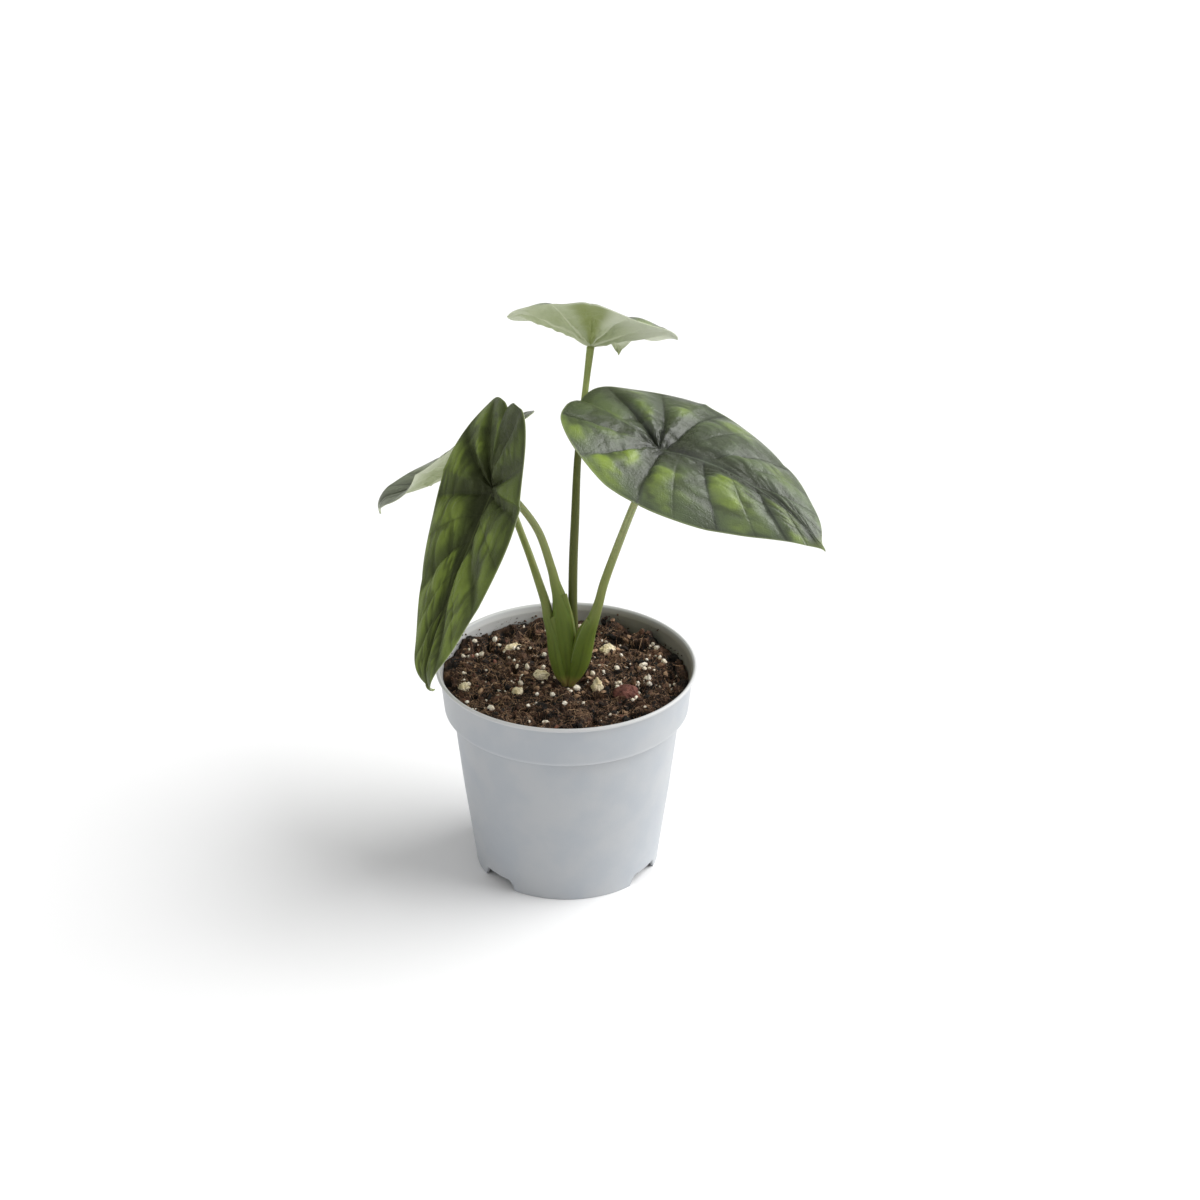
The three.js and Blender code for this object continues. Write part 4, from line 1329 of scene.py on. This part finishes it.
@dataclass
class Stalk:
    """One leaf stalk: an oval section along a centre line, whose foot is a wide sheath."""

    name: str
    finish: StalkFinish
    wings: Sequence[Wing] = ()
    sheath_top: float = 136.0
    young_from: float = 150.0
    foot_low: float = 93.0
    foot_high: float = 98.5
    sides: int = 32
    steps: int = 150

    def __post_init__(self) -> None:
        """Looks up the centre line."""
        self.rows = STALK_ROWS[self.name]

    def frames(self, knots: Array) -> tuple[Array, Array, Array]:
        """Centres, sideways and depthwise directions of the sections, as in the CAD solid: along is the
        curve's direction, sideways is X made square to it, and depthwise is their cross product.

        Args:
            knots: places along the rows.

        Returns:
            Rows of the curve, the sideways directions and the depthwise ones.
        """
        rows = through(self.rows, knots)
        along = unit((through(self.rows, knots + 0.05) - through(self.rows, knots - 0.05))[:, :3])
        side = unit(np.array([1.0, 0.0, 0.0]) - along * along[:, :1])
        return rows, side, np.cross(along, side)

    def marks(self, points: Array, turn: Array) -> dict[str, Array]:
        """Values for the finish: sheath, foot and young part by height, and streaks by noise drawn out along
        the stalk.

        Args:
            points: places on the stalk.
            turn: their angles round it.

        Returns:
            The values by name.
        """
        z = points[..., 2]
        coiled = np.stack([7 * np.cos(turn), 7 * np.sin(turn), z * 0.05], -1)
        streak = smooth(0.0, 0.7, octaves(coiled, 1.0, 5))
        return {
            "sheath": smooth(self.sheath_top + 14, self.sheath_top - 14, z),
            "foot": smooth(self.foot_high, self.foot_low, z),
            "streak": streak,
            "edge": 0 * z,
            "young": smooth(self.young_from, self.young_from + 30.0, z),
        }

    def tube(self) -> Sheet:
        """Skin of the stalk: centre + a cos(turn) side + b sin(turn) depth, pinched shut at both ends.

        Returns:
            The skin with its values.
        """
        knots = np.linspace(0.0, len(self.rows) - 1, self.steps)
        rows, side, depth = self.frames(knots)
        turn = np.linspace(0.0, 2 * np.pi, self.sides + 1)
        shut = np.ones(self.steps)
        shut[[0, -1]] = 0.0
        across = (rows[:, 3] * shut)[:, None, None] * np.cos(turn)[None, :, None] * side[:, None]
        deep = (rows[:, 4] * shut)[:, None, None] * np.sin(turn)[None, :, None] * depth[:, None]
        points = rows[:, None, :3] + across + deep
        points[:, -1] = points[:, 0]
        return Sheet(points, self.marks(points, turn[None, :] + 0 * points[..., 0]))

    def flap(self, wing: Wing) -> Sheet:
        """Flap between the stalk's front and a line from its side to the tip: across from the one to the
        other, arched by a half sine, 0.9 mm thick thinning to 0.2, and closed at both ends.

        Args:
            wing: where the flap starts and ends.

        Returns:
            The flap, out along its face and home along its back.
        """
        columns = 9
        share = np.linspace(0.0, 1.0, 30)
        rows, side, depth = self.frames(wing.first + (wing.last - wing.first) * share)
        inner = rows[:, :3] - depth * rows[:, 4:5] * 0.45
        start = inner[0] + wing.side * side[0] * rows[0, 3] * 0.9
        outer = start + (np.array(wing.tip) - start) * share[:, None]
        outer = outer + wing.side * side * (0.9 * np.sin(np.pi * share))[:, None] - depth * 0.3
        across = np.concatenate([np.linspace(0, 1, columns), np.linspace(1, 0, columns)])
        face = np.repeat([1.0, -1.0], columns)
        thick = 0.45 - 0.35 * across**1.5
        middle = inner[:, None] + (outer - inner)[:, None] * across[None, :, None]
        arch = 0.8 * np.sin(np.pi * across)[None, :, None] * -depth[:, None]
        points = middle + arch - (face * thick)[None, :, None] * depth[:, None]
        points = np.concatenate([points.mean(1, keepdims=True)[:1] + 0 * points[:1], points], 0)
        points = np.concatenate([points, points[-1:, columns - 1:columns] + 0 * points[-1:]], 0)
        points = np.concatenate([points, points[:, :1]], 1)
        out = np.append(across, across[0])[None] + 0 * points[..., 0]
        values = self.marks(points, 2.0 * out)
        values["edge"] = smooth(0.86, 1.0, out)
        return Sheet(points, values, flipped=wing.side < 0)

    def build(self) -> None:
        """Makes the stalk with its flaps."""
        sheets = [self.tube(), *(self.flap(wing) for wing in self.wings)]
        node = f"petiole_{self.name}"
        shape = Shape.of_sheets(sheets)
        shape.build(f"leaf_stalk_{self.name}", self.finish.material(f"stalk_{self.name}"), Slot.STALK, [node])


# Blades


# Half outline: shares of the half width across, and of the length ahead of the joint or behind it along,
# from the notch round the lobe and up the margin to the tip
OUTLINE = (
    (0, -0.86), (0.13, -0.96), (0.35, -1), (0.61, -0.91), (0.83, -0.64), (0.96, -0.28), (1, 0.05),
    (0.965, 0.24), (0.83, 0.45), (0.61, 0.64), (0.37, 0.79), (0.17, 0.9), (0.045, 0.96), (0, 1),
)

# Side veins from the notch to the tip: the start on the midrib, the knot of the outline at its end, the bend
VEINS = (
    (0, 0, 0), (0, 2.1, 0.1), (0, 3.5, 0.15), (0, 4.9, 0.2), (0.03, 6.3, 0.3), (0.13, 7.4, 0.4),
    (0.25, 8.5, 0.5), (0.39, 9.5, 0.5), (0.54, 10.45, 0.5), (0.7, 11.3, 0.5), (0.86, 12.2, 0.4), (1, 13, 0.3),
)

# Main veins: their numbers among the side veins, and the phase of the bulges between them
PHASES = ((0, 4 / 3, 8 / 3, 4, 6, 8, 10, 11), (-0.5, 0, 1, 2, 3, 4, 5, 5.5))


@dataclass
class HalfBlade:
    """What differs between the left and the right half of a blade: its width, folds and curl, the wave of
    its margin, how green each interval between veins glows, its bloom, partly painted sheen, and its paleness
    below."""

    side: int
    width: float
    lobe: float
    fold: tuple[float, float, float, float]
    curl: float
    wave: float
    phase: float
    glow: tuple[float, ...] = (0.5, 0.8, 0.8, 0.8, 0.7, 0.6, 0.5)
    # Strength of the bloom, partly painted sheen
    bloom_and_sheen: float = 0.3
    pale: float = 1.0


@dataclass
class Blade:
    """One leaf blade, drawn flat by its veins and then bent along its midrib. Heading, pitch and roll are
    its angles at the joint, and sweep, twist and bow are their changes up to the tip. Hook and flick bend the
    tip, and rise and sag lift the lobes behind the joint."""

    name: str
    ahead: float
    behind: float
    notch: float
    heading: float
    pitch: float
    roll: float
    sweep: float
    twist: float
    bow: float
    hook: float
    rise: float
    sag: float
    left: HalfBlade
    right: HalfBlade
    finish: LeafFinish
    seed: int
    half_thickness: float = 0.36
    rib: float = 0.8
    flick: float = 0.0
    pucker: float = 3.8
    roll_under: float = 0.0
    knee: float = 8.0
    wave_length: float = 2.6
    rows_per_vein: int = 20
    top_columns: int = 56
    edge_columns: int = 6
    under_columns: int = 30

    def midrib(self) -> dict[str, Array]:
        """Frames along the midrib: the direction's pitch and yaw change with the distance y from the stalk,
        the origin is the running sum of the directions, and the section rolls about them. The hook comes
        over the last 18 hundredths of the length, and the flick over the last 7.

        Returns:
            The distances y, and for each its origin and its directions to the right and up.
        """
        y = np.linspace(-self.behind, self.ahead, 401)
        u = y / self.ahead
        hook = self.hook * np.clip((u - 0.82) / 0.18, 0, 1) + self.flick * np.clip((u - 0.93) / 0.07, 0, 1)
        front = self.pitch + self.bow * np.clip(u, 0, 1) + hook
        rear = -(self.rise + self.sag * np.clip(-y / self.behind, 0, 1))
        share = smooth(-self.knee, self.knee, y)
        pitch = np.radians(share * front + (1 - share) * rear)
        yaw = np.radians(self.heading + self.sweep * np.maximum(u, 0))
        roll = np.radians(self.roll + self.twist * u)[:, None]
        along = np.stack([np.cos(pitch) * np.cos(yaw), np.cos(pitch) * np.sin(yaw), np.sin(pitch)], -1)
        level = np.stack([np.sin(yaw), -np.cos(yaw), 0 * yaw], -1)
        up = np.cross(level, along)
        right = np.cos(roll) * level - np.sin(roll) * up
        normal = np.sin(roll) * level + np.cos(roll) * up
        run = np.cumsum(0.5 * (along[1:] + along[:-1]) * (y[1] - y[0]), axis=0)
        origin = np.vstack([np.zeros(3), run])
        zero = np.array([np.interp(0.0, y, origin[:, k]) for k in range(3)])
        return {"y": y, "origin": origin - zero, "right": right, "normal": normal}

    def flat(self, half: HalfBlade, s: Array, t: Array) -> tuple[Array, Array]:
        """Flat place of vein s at share t: along a curve from the vein's start on the midrib to its end on
        the outline, bent towards the tip.

        Args:
            half: the blade's half.
            s: veins, counted from the notch.
            t: shares of the way from the midrib to the margin.

        Returns:
            Distance across and distance along.
        """
        start, knot, bend = np.moveaxis(through(VEINS, s), -1, 0)
        outline = np.array(OUTLINE, float)
        outline[0, 1] = -self.notch
        outline[1, 1] = -(self.notch + 1.02) / 2
        across, along = np.moveaxis(through(outline, knot), -1, 0)
        rear = self.behind * (1 + (half.lobe - 1) * smooth(0, 0.35, across))
        origin = np.clip(start, 0, 1) * self.ahead
        end = along * np.where(along < 0, rear, self.ahead)
        return np.maximum(across, 0) * half.width * t, origin + (end - origin) * (t + bend * (t * t - t))

    def swell(self, phase: Array, lean: float, sharp: float) -> Array:
        """Bulges, one for each step of the phase: sin(pi f^lean)^sharp, where f is the step's fraction."""
        part = phase - np.floor(phase)
        return np.abs(np.sin(np.pi * part**lean)) ** sharp

    def place(self, half: HalfBlade, s: Array, t: Array) -> Array:
        """Points for the noise fields, about a millimetre to the unit, with the halves far apart."""
        return np.stack([s * 5.2, t * 27.0, np.full_like(s * t, half.side * 40.0)], -1)

    def quilt(self, half: HalfBlade, s: Array, t: Array) -> Array:
        """Small bumps between the veins in millimetres: the size of noise, |n|, so the bumps are round and
        meet in creases, at 8 mm and at 3.4 mm, with fine ripples that run across from vein to vein. The
        smaller ones are stronger near the midrib.

        Args:
            half: the blade's half.
            s: veins.
            t: shares to the margin.

        Returns:
            The height at each place.
        """
        at = self.place(half, s, t)
        ripples = octaves(at * np.array([0.28, 1.0, 1.0]), 1.9, self.seed + 5)
        large = np.abs(octaves(at, 8.0, self.seed)) - 0.25
        small = np.abs(octaves(at, 3.4, self.seed + 1)) - 0.25
        return 1.6 * large + (0.8 * small + 0.22 * ripples) * (1 + 0.7 * bell(t, 0.45))

    def relief(self, half: HalfBlade, s: Array, t: Array) -> Array:
        """Height over the bent sheet: a leaning bulge between each two main veins, smaller ones between
        these and the weak veins, a waved margin that may roll under, and the quilt.

        Args:
            half: the blade's half.
            s: veins.
            t: shares to the margin.

        Returns:
            The height in millimetres.
        """
        to_tip = len(VEINS) - 1 - s
        shift = field_noise(self.place(half, s, t), 7.0, self.seed + 2)
        apart = np.minimum(1, 2 * s)
        phase = np.interp(s, *PHASES) + 0.07 * shift * smooth(0.1, 0.4, t) * apart
        calm = np.minimum(1, to_tip / 4)
        arch = (1 - np.exp(-6 * t)) * (1 - t**4)
        ahead = smooth(3.2, 4.6, s)
        main = self.swell(phase, 0.75, 0.95) * (1 - 0.22 * ahead)
        minor = self.swell(2 * phase, 0.8, 0.9) * smooth(0.15, 0.5, t)
        bulge = main + minor * 0.22 * (0.2 + ahead)
        swing = np.sin(2 * np.pi * s / self.wave_length + math.radians(half.phase))
        swing = swing * np.minimum(1, np.minimum(s, to_tip))
        bumps = self.quilt(half, s, t) * np.minimum(1, 8 * t) * (1 - t**3) * apart
        roll = self.roll_under * smooth(0.86, 1.0, t) * smooth(0, 1.5, s) * smooth(9, 6, s)
        return (self.pucker * bulge * arch + bumps) * calm + half.wave * t * t * swing - roll

    def sheet(self, half: HalfBlade, frames: dict[str, Array]) -> Sheet:
        """Skin of one half: over the top from the midrib to the margin, round the edge and back below, where
        the midrib and the main veins stand out. Each point is bent by fold + curl times the distance across,
        and its height stands square to that.

        Args:
            half: the blade's half.
            frames: what midrib returns.

        Returns:
            The skin with its values.
        """
        rows = (len(VEINS) - 1) * self.rows_per_vein + 1
        round_edge = np.linspace(np.pi / 2, -np.pi / 2, self.edge_columns + 2)[1:-1]
        top, below = np.linspace(0, 1, self.top_columns), np.linspace(1, 0, self.under_columns)
        t = np.concatenate([top, np.ones(self.edge_columns), below])[None]
        offset = np.concatenate([np.ones(len(top)), np.sin(round_edge), -np.ones(len(below))])[None]
        outward = np.concatenate([0 * top, np.cos(round_edge), 0 * below])[None]
        under = np.concatenate([0 * top, smooth(0.3, -0.3, np.sin(round_edge)), 1 + 0 * below])[None]
        s = np.linspace(0, len(VEINS) - 1, rows)[:, None]
        s, t = s + 0 * t, t + 0 * s
        x, y = self.flat(half, s, t)
        thin = self.half_thickness * (1 - 0.45 * smooth(0.5, 1.0, t))
        ahead = smooth(3.9, 4.2, s)
        crest = self.rib * bell(x, 1.1) * np.clip(1.15 - s / 11, 0, 1) * ahead
        costa = 0.5 * bell(self.vein_distance(half, s, t)[0], 0.7) * (1 - t)
        high = self.relief(half, s, t) + offset * thin - under * (crest + costa) * np.minimum(1, 3 - 3 * t)
        reach = outward * thin * np.minimum(1, x)
        fold = np.radians(np.interp(y, [-self.behind, 0, self.ahead / 2, self.ahead], half.fold))
        curl = math.radians(half.curl) / half.width
        lean = fold + curl * x
        tilt = lean * np.minimum(1, x / 3)
        across = (np.sin(lean) - np.sin(fold)) / curl - high * np.sin(tilt) + reach * np.cos(tilt)
        lift = (np.cos(fold) - np.cos(lean)) / curl + high * np.cos(tilt) + reach * np.sin(tilt)
        at = {k: np.stack([np.interp(y, frames["y"], frames[k][:, c]) for c in range(3)], -1)
              for k in ("origin", "right", "normal")}
        points = at["origin"] + half.side * across[..., None] * at["right"] + lift[..., None] * at["normal"]
        points = points + np.array(STALK_ROWS[self.name][-1][:3])
        return Sheet(points, self.marks(half, s, t, x, y, under + 0 * s), flipped=half.side < 0)

    def vein_distance(self, half: HalfBlade, s: Array, t: Array) -> tuple[Array, Array, Array, Array]:
        """Distances to veins: the flat distance between two main veins at the same t, times the share of the
        interval. Weak veins lie in the middle of the intervals ahead of the joint.

        Args:
            half: the blade's half.
            s: veins.
            t: shares to the margin.

        Returns:
            Distances to the nearest main vein, the weak vein, the main vein before and the one after.
        """
        knots = np.array(PHASES[0], float)
        k = np.clip(np.searchsorted(knots, s, side="right") - 1, 0, len(knots) - 2)
        low, high = knots[k], knots[k + 1]
        x0, y0 = self.flat(half, low, t)
        x1, y1 = self.flat(half, high, t)
        gap = np.hypot(x1 - x0, y1 - y0)
        share = (s - low) / (high - low)
        back = np.where(k == 0, 2.0, share)
        ahead = np.where(k == len(knots) - 2, 2.0, 1 - share)
        weak = np.where((k >= 3) & (k < len(knots) - 2), gap * np.abs(share - 0.5), 9.0)
        return gap * np.minimum(back, ahead), weak, gap * back, gap * ahead

    def marks(
        self, half: HalfBlade, s: Array, t: Array, x: Array, y: Array, under: Array
    ) -> dict[str, Array]:
        """Values for the finish, each from s, t and the flat place: steps of a distance whose edge is moved
        by noise, and bells round the joint, the midrib and the middle of each interval.

        Args:
            half: the blade's half.
            s: veins.
            t: shares to the margin.
            x: distances across.
            y: distances along.
            under: 1 on the underside.

        Returns:
            Distances to veins, rib and edge, the net of fine veins, the green patches, the dark bands with
            painted shade by the veins and centre, the grey bloom with painted sheen towards the tip, the pale
            tip, the paleness towards the margin below, the small bumps whose heights paint shade in the
            hollows and highlight on the crests, and the thick fan round the joint below.
        """
        at = self.place(half, s, t)
        wide, close = octaves(at, 9.0, self.seed + 3), octaves(at, 3.6, self.seed + 4)
        phase = np.interp(s, *PHASES)
        fraction = phase - np.floor(phase)
        vein, weak, before, after = self.vein_distance(half, s, t)
        # Dark bands by the veins: partly the leaf's dark vein zones, partly painted shade on the flanks
        # sloping into the veins
        vein_band_and_shade = smooth(8.5, 0.3, after + 3.2 * wide + 1.5 * close) * (1 - 0.5 * smooth(0.6, 1, t))
        vein_band_and_shade = np.maximum(vein_band_and_shade, 0.8 * smooth(2.6, 0.2, before + 1.2 * close))
        vein_band_and_shade = np.maximum(vein_band_and_shade, 0.22 * smooth(2.6, 0.2, weak + 1.2 * close))
        radius = np.hypot(x, y)
        length = np.hypot(*self.flat(half, s, 0 * t + 1))
        outward = smooth(11.0, 25.0, t * length + 5.0 * wide)
        glow = np.interp(phase + 0.3 * wide, [-0.25, 0.5, 1.5, 2.5, 3.5, 4.5, 5.5], half.glow)
        middle = bell(fraction - 0.38 + 0.2 * wide, 0.45)
        patch = glow * outward * middle * (1 - 0.7 * vein_band_and_shade) * (1 - 0.25 * smooth(0.88, 1, t))
        patch = patch * (0.85 + 0.7 * wide + 0.7 * close)
        centre = np.clip(bell(radius, 13.0) + 0.7 * bell(x, 4.5) * (s > 3), 0, 1)
        edge = (1 - t) * np.maximum(6.0, length)
        reach = np.interp(s, [0, 4, 6, 11], [1.0, 1.0, 0.75, 0.3])
        chevron = t * length * reach / 5.5 - 2.4 * np.abs(fraction - 0.5)
        chevron = chevron + 0.5 * field_noise(at, 2.0, self.seed + 6)
        fan = smooth(1.0, 0.5, s + 0.12 * wide) * smooth(1.02, 0.9, t) + bell(radius, 5.0)
        # Bloom: partly painted sheen, stronger toward the tip and set per half
        bloom_and_sheen = half.bloom_and_sheen * (0.35 + 0.65 * smooth(-0.1, 0.9, y / self.ahead)) * smooth(0.1, 0.6, t) + 0 * s
        return {
            "vein_mm": vein, "weak_mm": weak, "rib_mm": np.where(s < 3.95, 9.0, x), "edge_mm": edge,
            "chevron": chevron, "patch": np.clip(patch, 0, 1.5), "vein_band_and_shade": vein_band_and_shade, "centre": centre,
            "bloom_and_sheen": bloom_and_sheen, "tip": smooth(0.90, 0.99, y / self.ahead), "margin": half.pale * t + 0 * s,
            "lift": self.quilt(half, s, t), "thick": np.clip(fan, 0, 1), "under": under,
        }

    def build(self) -> None:
        """Makes the blade."""
        frames = self.midrib()
        shape = Shape.of_sheets([self.sheet(half, frames) for half in (self.left, self.right)])
        node = f"blade_{self.name}"
        shape.build(f"leaf_blade_{self.name}", self.finish.material(f"leaf_{self.name}"), Slot.LEAF, [node])


# Plant


@dataclass
class Crown:
    """The swollen base that the stalks grow from."""

    low: float = 62.2
    high: float = 90.6
    girth: float = 7.0
    taper: float = 2.6

    def shape(self) -> Shape:
        """A turned bud: the radius rises by one smooth step to the girth and falls by another to the
        sheaths.

        Returns:
            The bud.
        """
        z = np.linspace(self.low, self.high, 50)
        r = self.girth * smooth(61, 66, z) - self.taper * smooth(82, 90, z)
        r[[0, -1]] = 0.0
        turn = np.linspace(0, 2 * np.pi, 49)
        x = CROWN_AT[0] + r[:, None] * np.cos(turn)
        y = CROWN_AT[1] + r[:, None] * np.sin(turn)
        points = np.stack([x, y, z[:, None] + 0 * turn], -1)
        points[:, -1] = points[:, 0]
        flat = 0 * points[..., 0]
        values = {"sheath": flat + 1, "foot": flat + 1, "streak": flat, "edge": flat, "young": flat}
        return Shape.of_sheets([Sheet(points, values)])

    def build(self) -> None:
        """Makes the crown."""
        self.shape().build("crown_bud", StalkFinish().material("crown_skin"), Slot.STALK, ["crown"])


@dataclass
class Plant:
    """The four leaves and the crown that they grow from, with the CAD solids' values."""

    sheen: LeafFinish = LeafFinish(gloss=0.66, roughness=0.32, line=0.55)
    olive: LeafFinish = LeafFinish(
        patch=(0.172, 0.236, 0.036), green=(0.074, 0.104, 0.020), dark=(0.029, 0.037, 0.011),
        steel=(0.031, 0.035, 0.014), bloom_and_sheen=(0.125, 0.155, 0.05), gloss=0.12, roughness=0.46, line=0.22,
    )
    # Back leaf: tones lightened to grey-green all over, a painted sheen for its glancing angle
    pale: LeafFinish = LeafFinish(
        patch=(0.22, 0.255, 0.145), green=(0.17, 0.198, 0.12), dark=(0.105, 0.118, 0.078),
        steel=(0.125, 0.136, 0.10), bloom_and_sheen=(0.24, 0.265, 0.19), tip=(0.55, 0.60, 0.42),
    )
    dark_stalk: StalkFinish = StalkFinish(
        upper=(0.088, 0.100, 0.020), sheath=(0.088, 0.100, 0.020), young=(0.27, 0.32, 0.10)
    )
    plain_stalk: StalkFinish = StalkFinish()

    def top_blade(self) -> Blade:
        """The upright blade, whose underside faces the front."""
        return Blade(
            "top", ahead=84.5, behind=41, notch=0.93, heading=89, pitch=-23, roll=10, sweep=-20, twist=7,
            bow=3, hook=-72, rise=59, sag=-9, seed=101, pucker=3.2, roll_under=2.0, finish=self.sheen,
            left=HalfBlade(
                side=-1, width=40, lobe=0.8, fold=(6, 18, 8, -6), curl=-13, wave=0.6, phase=330, pale=0.65
            ),
            right=HalfBlade(
                side=1, width=39, lobe=0.9, fold=(-6, 23, 27, 31), curl=-7, wave=0.5, phase=54, pale=1.5
            ),
        )

    def right_blade(self) -> Blade:
        """The broad blade on the right, seen from above."""
        return Blade(
            "right", ahead=93, behind=44.5, notch=0.98, heading=-32, pitch=8, roll=2, sweep=-6, twist=12,
            bow=-46, hook=-1, rise=19, sag=0, seed=102, finish=self.sheen,
            left=HalfBlade(
                side=-1, width=39, lobe=0.99, fold=(7, 18, -9, -9), curl=-21, wave=0.6, phase=6,
                glow=(0.4, 0.65, 0.5, 0.45, 0.4, 0.4, 0.4), bloom_and_sheen=0.48,
            ),
            right=HalfBlade(
                side=1, width=38.5, lobe=0.99, fold=(16, 12, -6, -12), curl=-32, wave=0.5, phase=40,
                glow=(0.45, 0.7, 1.2, 0.5, 0.6, 0.65, 0.6), bloom_and_sheen=0.25,
            ),
        )

    def left_blade(self) -> Blade:
        """The long hanging blade on the left, whose tip turns aside."""
        return Blade(
            "left", ahead=102, behind=42.5, notch=0.9, heading=230, pitch=-50, roll=11, sweep=-3, twist=0,
            bow=-18, hook=-55, rise=79, sag=-7, seed=103, flick=-45.0, finish=self.olive,
            left=HalfBlade(
                side=-1, width=38.5, lobe=1.03, fold=(23, 24, 16, 18), curl=-4, wave=0.5, phase=4,
                glow=(0.2, 0.4, 0.8, 0.9, 1.3, 1.6, 1.5),
            ),
            right=HalfBlade(
                side=1, width=30.5, lobe=0.94, fold=(-18, 15, -1, 11), curl=-10, wave=0.7, phase=32,
                glow=(0.6, 0.9, 1.3, 1.3, 1.5, 1.6, 1.5), bloom_and_sheen=0.38,
            ),
        )

    def back_blade(self) -> Blade:
        """The small blade at the back, half hidden by the left one."""
        return Blade(
            "back", ahead=69, behind=24, notch=0.75, heading=177, pitch=-52, roll=33, sweep=-2, twist=-48,
            bow=46, hook=-100, rise=43, sag=-22, seed=104, pucker=1.1, finish=self.pale,
            left=HalfBlade(
                side=-1, width=31, lobe=0.85, fold=(1, 18, 43, 3), curl=-34, wave=0.4, phase=186
            ),
            right=HalfBlade(
                side=1, width=25, lobe=0.94, fold=(47, 38, 34, 11), curl=-42, wave=0.3, phase=206
            ),
        )

    def stalks(self) -> list[Stalk]:
        """The stalks, with the sheaths' free margins."""
        return [
            Stalk("top", self.dark_stalk, young_from=205.0),
            Stalk("left", self.plain_stalk, (Wing(3.0, 6.2, 1, (0.4, -1.2, 138.6)),), sheath_top=142),
            Stalk("right", self.plain_stalk, (Wing(3.0, 5.8, -1, (9.5, -5.6, 128.6)),), sheath_top=130),
            Stalk("back", self.plain_stalk, (Wing(2.8, 5.0, 1, (-5.2, -1.4, 127.2)),), sheath_top=128),
        ]

    def build(self) -> None:
        """Makes every piece of the plant."""
        blades = (self.top_blade(), self.right_blade(), self.left_blade(), self.back_blade())
        for part in (*self.stalks(), *blades, Crown()):
            part.build()


# Studio


@dataclass
class Studio:
    """Floor, light and camera, set as for the photograph. Lights stand at degrees from +X and degrees up."""

    elevation: float = 28.6
    distance: float = 2000.0
    aim: tuple[float, float, float] = (15.4, 0.0, 134.4)
    lens: float = 131.88
    sky: float = 0.50
    key: float = 3.75
    key_width: float = 62.0
    key_from: tuple[float, float] = (6.0, 40.0)
    fill: float = 0.40
    fill_width: float = 90.0
    fill_from: tuple[float, float] = (205.0, 12.0)
    floor_reach: float = 30.0
    floor_dark: Colour = (0.865, 0.865, 0.865)
    floor_light: Colour = (0.875, 0.875, 0.875)

    def floor(self) -> None:
        """A wide plain floor whose tone lies just under white."""
        mesh = bpy.data.meshes.new("floor")
        reach = self.floor_reach
        corners = [(-reach, -reach, 0), (reach, -reach, 0), (reach, reach, 0), (-reach, reach, 0)]
        mesh.from_pydata(corners, [], [(0, 1, 2, 3)])
        paint = Paint("floor", Roughness=0.9, Specular_IOR_Level=0.1)
        cloud = paint.noise(400.0, 2.0)
        paint.feed("Base Color", paint.mix(cloud, self.floor_dark, self.floor_light))
        mesh.materials.append(paint.material)
        add_object("floor", mesh)

    def lights(self) -> None:
        """Even white surroundings, a broad key from the right and above, and a weak fill, low on the left."""
        world = bpy.data.worlds.new("studio")
        world.use_nodes = True
        back = world.node_tree.nodes["Background"]
        back.inputs["Color"].default_value = (1.0, 1.0, 1.0, 1.0)
        back.inputs["Strength"].default_value = self.sky
        bpy.context.scene.world = world
        self.sun("key", self.key, self.key_width, *self.key_from)
        self.sun("fill", self.fill, self.fill_width, *self.fill_from)

    def sun(self, name: str, energy: float, width: float, around: float, up: float) -> None:
        """A soft distant light.

        Args:
            name: the light's name.
            energy: its strength.
            width: its angular width in degrees.
            around: where it stands, in degrees from +X towards +Y.
            up: its height in degrees.
        """
        light = bpy.data.lights.new(name, "SUN")
        light.energy = energy
        light.angle = math.radians(width)
        lamp = add_object(name, light)
        lamp.rotation_euler = (0.0, math.radians(90.0 - up), math.radians(around))

    def camera(self) -> None:
        """A long lens that looks at the aim from in front, tilted down."""
        data = bpy.data.cameras.new("camera")
        data.sensor_width = 36.0
        data.lens = self.lens
        data.clip_start, data.clip_end = 0.1, 100.0
        camera = add_object("camera", data)
        tilt = math.radians(self.elevation)
        x, y, z = self.aim
        camera.location = (
            x * MM, (y - self.distance * math.cos(tilt)) * MM, (z + self.distance * math.sin(tilt)) * MM,
        )
        camera.rotation_euler = (math.pi / 2 - tilt, 0.0, 0.0)
        bpy.context.scene.camera = camera

    def build(self) -> None:
        """Sets the studio up."""
        self.camera()
        self.lights()
        self.floor()
        bpy.context.scene.view_settings.view_transform = "Standard"
        bpy.context.scene.view_settings.look = "None"


def main() -> None:
    """Builds the studio and the pieces."""
    logging.basicConfig(level=logging.INFO, format="%(message)s")
    parts: list[Any] = [Studio(), NurseryPot(), PottingMix(), Plant()]
    for part in parts:
        part.build()
        log.info("built %s", type(part).__name__)
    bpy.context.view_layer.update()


if __name__ == "__main__":
    main()
